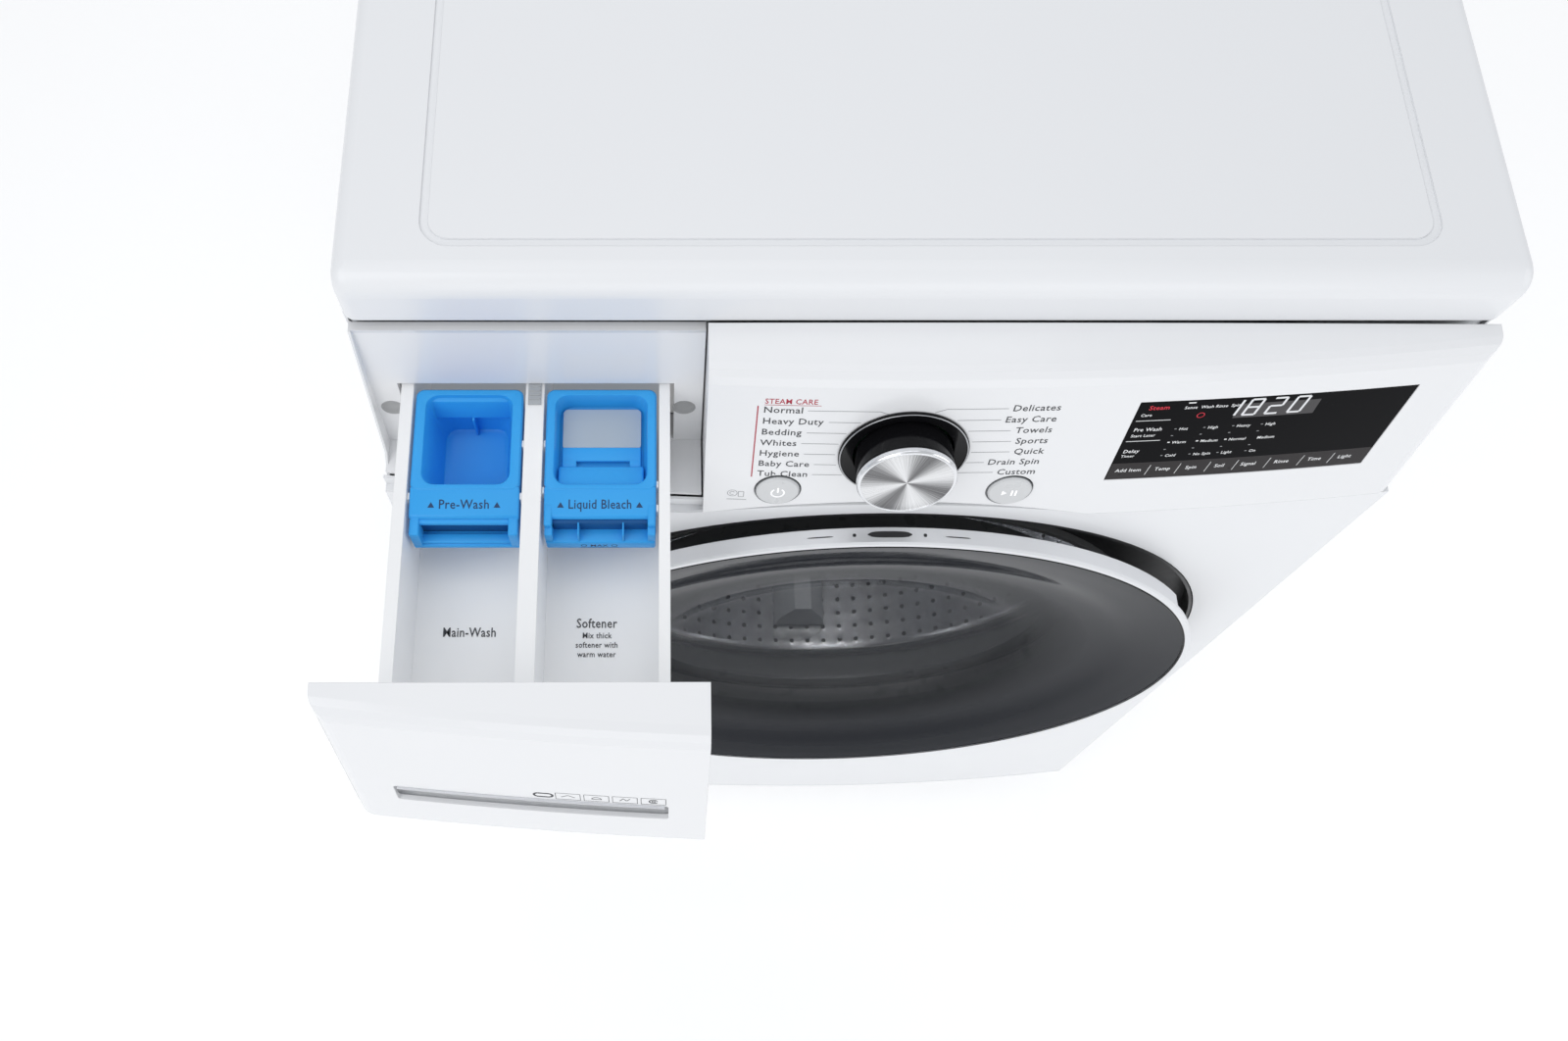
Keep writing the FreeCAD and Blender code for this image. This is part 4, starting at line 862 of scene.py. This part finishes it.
def drawer_prints():
    for name, node, body, text, widen in (
        ("prewash", "prewash_cup", "prewash_insert", "Pre-Wash", 0.92),
        ("bleach", "bleach_cup", "bleach_insert", "Liquid Bleach", 0.86),
    ):
        low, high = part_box(node)
        middle = (low.x + high.x) / 2
        row = low.y + 17.2 * MM
        mark = word(text, 8.4 * MM, "CENTER", widen)
        left, right = extent(mark)
        marks = [lay(mark, middle, row)]
        for x in (left - 5 * MM, right + 5 * MM):
            marks.append(triangle_mark(middle + x, row + 0.6 * MM, 4.2 * MM))
        shell = bpy.data.objects[body + "_shell"]
        print_on(name + "_words", marks, ray_target(shell), DOWN, BLUE_INK, body)
    low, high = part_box("bleach_cup")
    middle = (low.x + high.x) / 2
    shell = ray_target(bpy.data.objects["bleach_insert_shell"])
    level = level_mark(middle - 1 * MM, high.z - 22.5 * MM)
    print_on("bleach_level_front", level, shell, BACKWARDS, BLUE_INK, "bleach_insert")
    tray = surface_tree("drawer_tub")
    cup_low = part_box("prewash_cup")[0]
    row = cup_low.y - 49.5 * MM
    marks = [lay(word("Main-Wash", 8.8 * MM, "CENTER", 0.84), -276.8 * MM, row)]
    marks.append(lay(word("Softener", 8.8 * MM, "CENTER", 0.84), -195.6 * MM, row + 6.0 * MM))
    for k, text in enumerate(("Mix thick", "softener with", "warm water")):
        marks.append(lay(word(text, 5.4 * MM, "CENTER", 0.9), -195.4 * MM, row - (1.0 + 6.2 * k) * MM))
    print_on("tray_words", marks, tray, DOWN, INK, "drawer", 0.3 * MM)


def drawer_clips():
    """Small springy tabs that hold the inserts beside the walls."""
    bm = bmesh.new()
    left_low, left_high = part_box("prewash_cup")
    right_low, right_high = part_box("bleach_cup")
    gap, top = 0.6 * MM, left_high.z
    spots = [(left_high.x + gap, 0.62), (right_low.x - gap, 0.62), (left_high.x + gap, 0.26),
             (left_low.x - gap, 0.26), (right_low.x - gap, 0.30), (right_high.x + gap, 0.34),
             (right_high.x + gap, 0.18)]
    for x, share in spots:
        y = left_low.y + share * (left_high.y - left_low.y)
        tab = block(x - 0.55 * MM, x + 0.55 * MM, y - 2.2 * MM, y + 2.2 * MM, top - 10 * MM, top - 1.6 * MM,
                    0.3 * MM, 2)
        merge(bm, tab)
    piece("insert_clips", bm, TRAY_WHITE_PAINTED_GLOW, "drawer")


def drawer_front_marks():
    """A row of small framed pictograms above the grip, with a rounded pill at its left end."""
    wide, tall, gap = 14.4 * MM, 8.4 * MM, 16.6 * MM
    right, base = -151.5 * MM, 863.8 * MM
    middle = base + tall / 2
    zigzag = ((-3, -1.5), (-1, 2), (1, -1), (3, 2))
    roof = ((-4, -1), (0, 1.6), (4, -1))
    marks = []
    for k in range(4):
        x0 = right - wide - k * gap
        border = [(x0, base), (x0 + wide, base), (x0 + wide, base + tall), (x0, base + tall)]
        marks.append(rule(border, 0.35 * MM, closed=True))
        centre = x0 + wide / 2
        if k == 0:
            marks.append(rule(arc_points(centre, middle, 2.4 * MM, 20, 340, 20), 0.8 * MM))
            marks.append(rule(arc_points(centre, middle, 1.0 * MM, 0, 360, 12), 0.6 * MM))
        elif k == 2:
            dome = arc_points(centre, middle - 1.4 * MM, 2.8 * MM, 0, 180, 14)
            marks.append(rule(dome, 0.5 * MM, closed=True))
        else:
            route = [(centre + a * MM, middle + b * MM) for a, b in (zigzag if k == 1 else roof)]
            marks.append(rule(route, 0.5 * MM))
    end = right - 4 * gap
    pill = arc_points(end - 8 * MM, middle, 2.4 * MM, 90, 270, 10)
    pill += arc_points(end - 2 * MM, middle, 2.4 * MM, -90, 90, 10)
    marks.append(rule(pill, 1.4 * MM, closed=True))
    print_on("grip_pictograms", marks, surface_tree("drawer_front"), BACKWARDS, INK, "drawer")


# ---------------------------------------------------------------- door and drum
CLEAR_WITHIN, SOLID_BEYOND = 165 * MM, 215 * MM
CLEAR_ALPHA, SOLID_ALPHA = 0.26, 0.985
DOOR_SEGMENTS = 220
RING_EDGE = 294.0


def window_material():
    """Smoked glass, clear in the middle and solid black behind the rim."""
    mat = clear_plastic("smoked_door_glass", (0.012, 0.014, 0.019), 0.74, 0.035, 0.05)
    tree = mat.node_tree
    shader = tree.nodes["Principled BSDF"]
    coords = add(tree, "ShaderNodeTexCoord")
    split = add(tree, "ShaderNodeSeparateXYZ")
    tree.links.new(coords.outputs["Object"], split.inputs["Vector"])
    flat = add(tree, "ShaderNodeCombineXYZ")
    tree.links.new(split.outputs["X"], flat.inputs["X"])
    tree.links.new(split.outputs["Y"], flat.inputs["Y"])
    length = add(tree, "ShaderNodeVectorMath", operation="LENGTH")
    tree.links.new(flat.outputs["Vector"], length.inputs[0])
    solid = remap(tree, length.outputs["Value"], CLEAR_ALPHA, SOLID_ALPHA, CLEAR_WITHIN, SOLID_BEYOND)
    tree.links.new(solid, shader.inputs["Alpha"])
    return mat


def ring_slots():
    """Five dark slots with rounded ends, side by side in the top edge of the door ring."""
    bm = bmesh.new()
    slots = ((0, 15, 3.4, 8.0), (-47, 9, 4.6, 5.4), (47, 9, 4.6, 5.4), (24, 1.2, 4.2, 6.6),
             (-24, 1.2, 4.2, 6.6))
    radius = (RING_EDGE + 0.12) * MM
    count = 12
    for middle, half, w0, w1 in slots:
        rows = []
        for k in range(count + 1):
            share = 2 * k / count - 1
            a = (middle + half * share) / RING_EDGE
            x, y = radius * math.sin(a), radius * math.cos(a)
            centre = (w0 + w1) / 2
            reach = (w1 - w0) / 2 * math.sqrt(max(1 - share ** 4, 0.02))
            rows.append([bm.verts.new((x, y, w * MM)) for w in (centre - reach, centre + reach)])
        for one, two in zip(rows, rows[1:]):
            bm.faces.new((one[0], one[1], two[1], two[0]))
    return bm


def door_pieces():
    outer = metres([(0, 29), (120, 28.6), (150, 27.6), (172, 21.5), (184, 19.4), (212, 16), (232, 12.2),
                    (252, 6.6), (276, 1.6), (287.4, -0.5)])
    inner = metres([(287.4, 2.4), (276, 4.4), (252, 9.6), (232, 15.2), (212, 19), (184, 22.4), (172, 24.5),
                    (150, 30.6), (120, 31.6), (0, 32)])
    window = lathe(fillet(outer, 9 * MM, 5) + fillet(inner, 9 * MM, 5), DOOR_SEGMENTS)
    piece("door_window", window, window_material(), "door", ("door_glass",), pose=wash_pose)
    piece("ring_slots", ring_slots(), DARK, "door", pose=wash_pose)
    edge = lathe(metres([(287.3, -1.25), (287.9, -1.55), (288.9, -1.4), (289.1, -1.15)]), DOOR_SEGMENTS)
    piece("window_edge_line", edge, BLACK, "door", pose=wash_pose)


def drum_pieces():
    """Perforated drum wall with a rolled front lip."""
    radius, start, end = 275.0, 123.0, 526.0
    columns, rows, hole = 96, 25, 2.6
    step, pitch = 2 * math.pi / columns, (end - start) / rows
    lip = [(215.4, 105), (214, 101), (215, 98.6), (219, 98), (256, 102), (radius, 122), (radius, start)]
    bm = lathe(fillet(metres(lip), 4 * MM, 4), 192)
    edge = (radius - 0.4) * MM
    made = {}

    def vert(a, w):
        key = (round(a * 1e5) % round(2 * math.pi * 1e5), round(w * 1e3))
        if key not in made:
            made[key] = bm.verts.new((radius * MM * math.cos(a), radius * MM * math.sin(a), w * MM))
        return made[key]

    for c in range(columns):
        for r in range(rows):
            a0, w0 = c * step, start + r * pitch
            a1, w1 = a0 + step, w0 + pitch
            mid_a, mid_w = a0 + step / 2, w0 + pitch / 2
            rim = [(a0, w0), (mid_a, w0), (a1, w0), (a1, mid_w), (a1, w1), (mid_a, w1), (a0, w1), (a0, mid_w)]
            outer = [vert(*p) for p in rim]
            inner = []
            for k in range(8):
                t = math.radians(225 + 45 * k)
                a, w = mid_a + hole / radius * math.cos(t), mid_w + hole * math.sin(t)
                inner.append(bm.verts.new((edge * math.cos(a), edge * math.sin(a), w * MM)))
            for k in range(8):
                n = (k + 1) % 8
                bm.faces.new((outer[k], outer[n], inner[n], inner[k]))
    piece("drum_wall", bm, DRUM_STEEL, "drum", ("drum_shell",), pose=wash_pose, angle=50)


def flexing_copy(name, node, slot):
    """A copy of a soft or springy node that stretches between the cabinet and the tub."""
    bm = bmesh.new()
    bm.from_mesh(nodes[node].data)
    made = piece(name, bm, SLOT_LOOKS[slot], None, (node,))
    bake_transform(made)


def flexing_pieces():
    flexing_copy("door_bellows", "gasket", "gasket_grey")
    flexing_copy("hanging_springs", "suspension_springs", "screw_steel")


knob_pieces()
key_pieces()
panel_prints()
display_prints()
prewash_insert()
bleach_insert()
drawer_prints()
drawer_clips()
screw_covers()
drawer_front_marks()
door_pieces()
drum_pieces()
flexing_pieces()


# ---------------------------------------------------------------- studio
FLOOR = surface("pale_floor", (0.95, 0.95, 0.95), 0.8, shift=0.008, depth=0.02, grain=60, patch=1.2,
                Emission_Color=(1, 1, 1, 1), Emission_Strength=0.22)
FLOOR_REACH = 6.0
AIR_COLOUR, AIR_STRENGTH = (0.95, 0.97, 1.0, 1), 0.62
CAMERA_PLACE = (-0.15265, -0.57645, 1.60793)
CAMERA_TILT = 19.755
CAMERA_LENS = 29.154
CAMERA_SHIFT = (0.0766, 0.0306)


def make_floor():
    bm = bmesh.new()
    signs = ((-1, -1), (1, -1), (1, 1), (-1, 1))
    bm.faces.new([bm.verts.new((x * FLOOR_REACH, y * FLOOR_REACH, 0)) for x, y in signs])
    bmesh.ops.subdivide_edges(bm, edges=bm.edges[:], cuts=8, use_grid_fill=True)
    mesh = bpy.data.meshes.new("floor")
    bm.to_mesh(mesh)
    bm.free()
    floor = bpy.data.objects.new("floor", mesh)
    bpy.context.scene.collection.objects.link(floor)
    paint(floor, FLOOR)


def soft_light(name, place, target, size, power):
    data = bpy.data.lights.new(name, "AREA")
    data.shape = "RECTANGLE"
    data.size, data.size_y = size
    data.energy = power
    lamp = bpy.data.objects.new(name, data)
    lamp.location = place
    lamp.rotation_euler = (Vector(target) - Vector(place)).to_track_quat("-Z", "Y").to_euler()
    bpy.context.scene.collection.objects.link(lamp)


def make_lights():
    top = cad_high.z
    soft_light("key_softbox", (-1.3, -1.2, top + 1.5), (0, -0.2, top), (1.6, 1.6), 13)
    soft_light("front_softbox", (0.3, -2.6, 1.3), (0, -0.2, 0.6), (2.2, 1.4), 9)
    soft_light("fill_right", (2.2, -0.8, 1.6), (0, 0, 0.7), (1.4, 1.8), 7)
    soft_light("overhead_softbox", (-0.1, 0.1, top + 1.3), (-0.1, -0.1, top), (1.2, 1.0), 2.5)
    lamp_place = wash_pose @ Vector((0, 200 * MM, 180 * MM))
    soft_light("drum_lamp", lamp_place, wash_pose @ Vector((0, -100 * MM, 400 * MM)), (0.2, 0.06), 0.8)
    soft_light("back_softbox", (0.2, 2.4, 1.9), (0, 0.2, 0.8), (2.2, 1.2), 9)
    world = bpy.data.worlds.new("studio_air")
    bpy.context.scene.world = world
    world.use_nodes = True
    air = world.node_tree.nodes["Background"]
    air.inputs["Color"].default_value = AIR_COLOUR
    air.inputs["Strength"].default_value = AIR_STRENGTH


def make_camera():
    data = bpy.data.cameras.new("view_from_above")
    data.sensor_width = 36.0
    data.lens = CAMERA_LENS
    data.shift_x, data.shift_y = CAMERA_SHIFT
    data.clip_start = 0.01
    camera = bpy.data.objects.new("view_from_above", data)
    camera.location = CAMERA_PLACE
    camera.rotation_euler = (math.radians(CAMERA_TILT), 0, 0)
    bpy.context.scene.collection.objects.link(camera)
    bpy.context.scene.camera = camera


make_floor()
make_lights()
make_camera()
bpy.context.scene.view_settings.view_transform = "Standard"
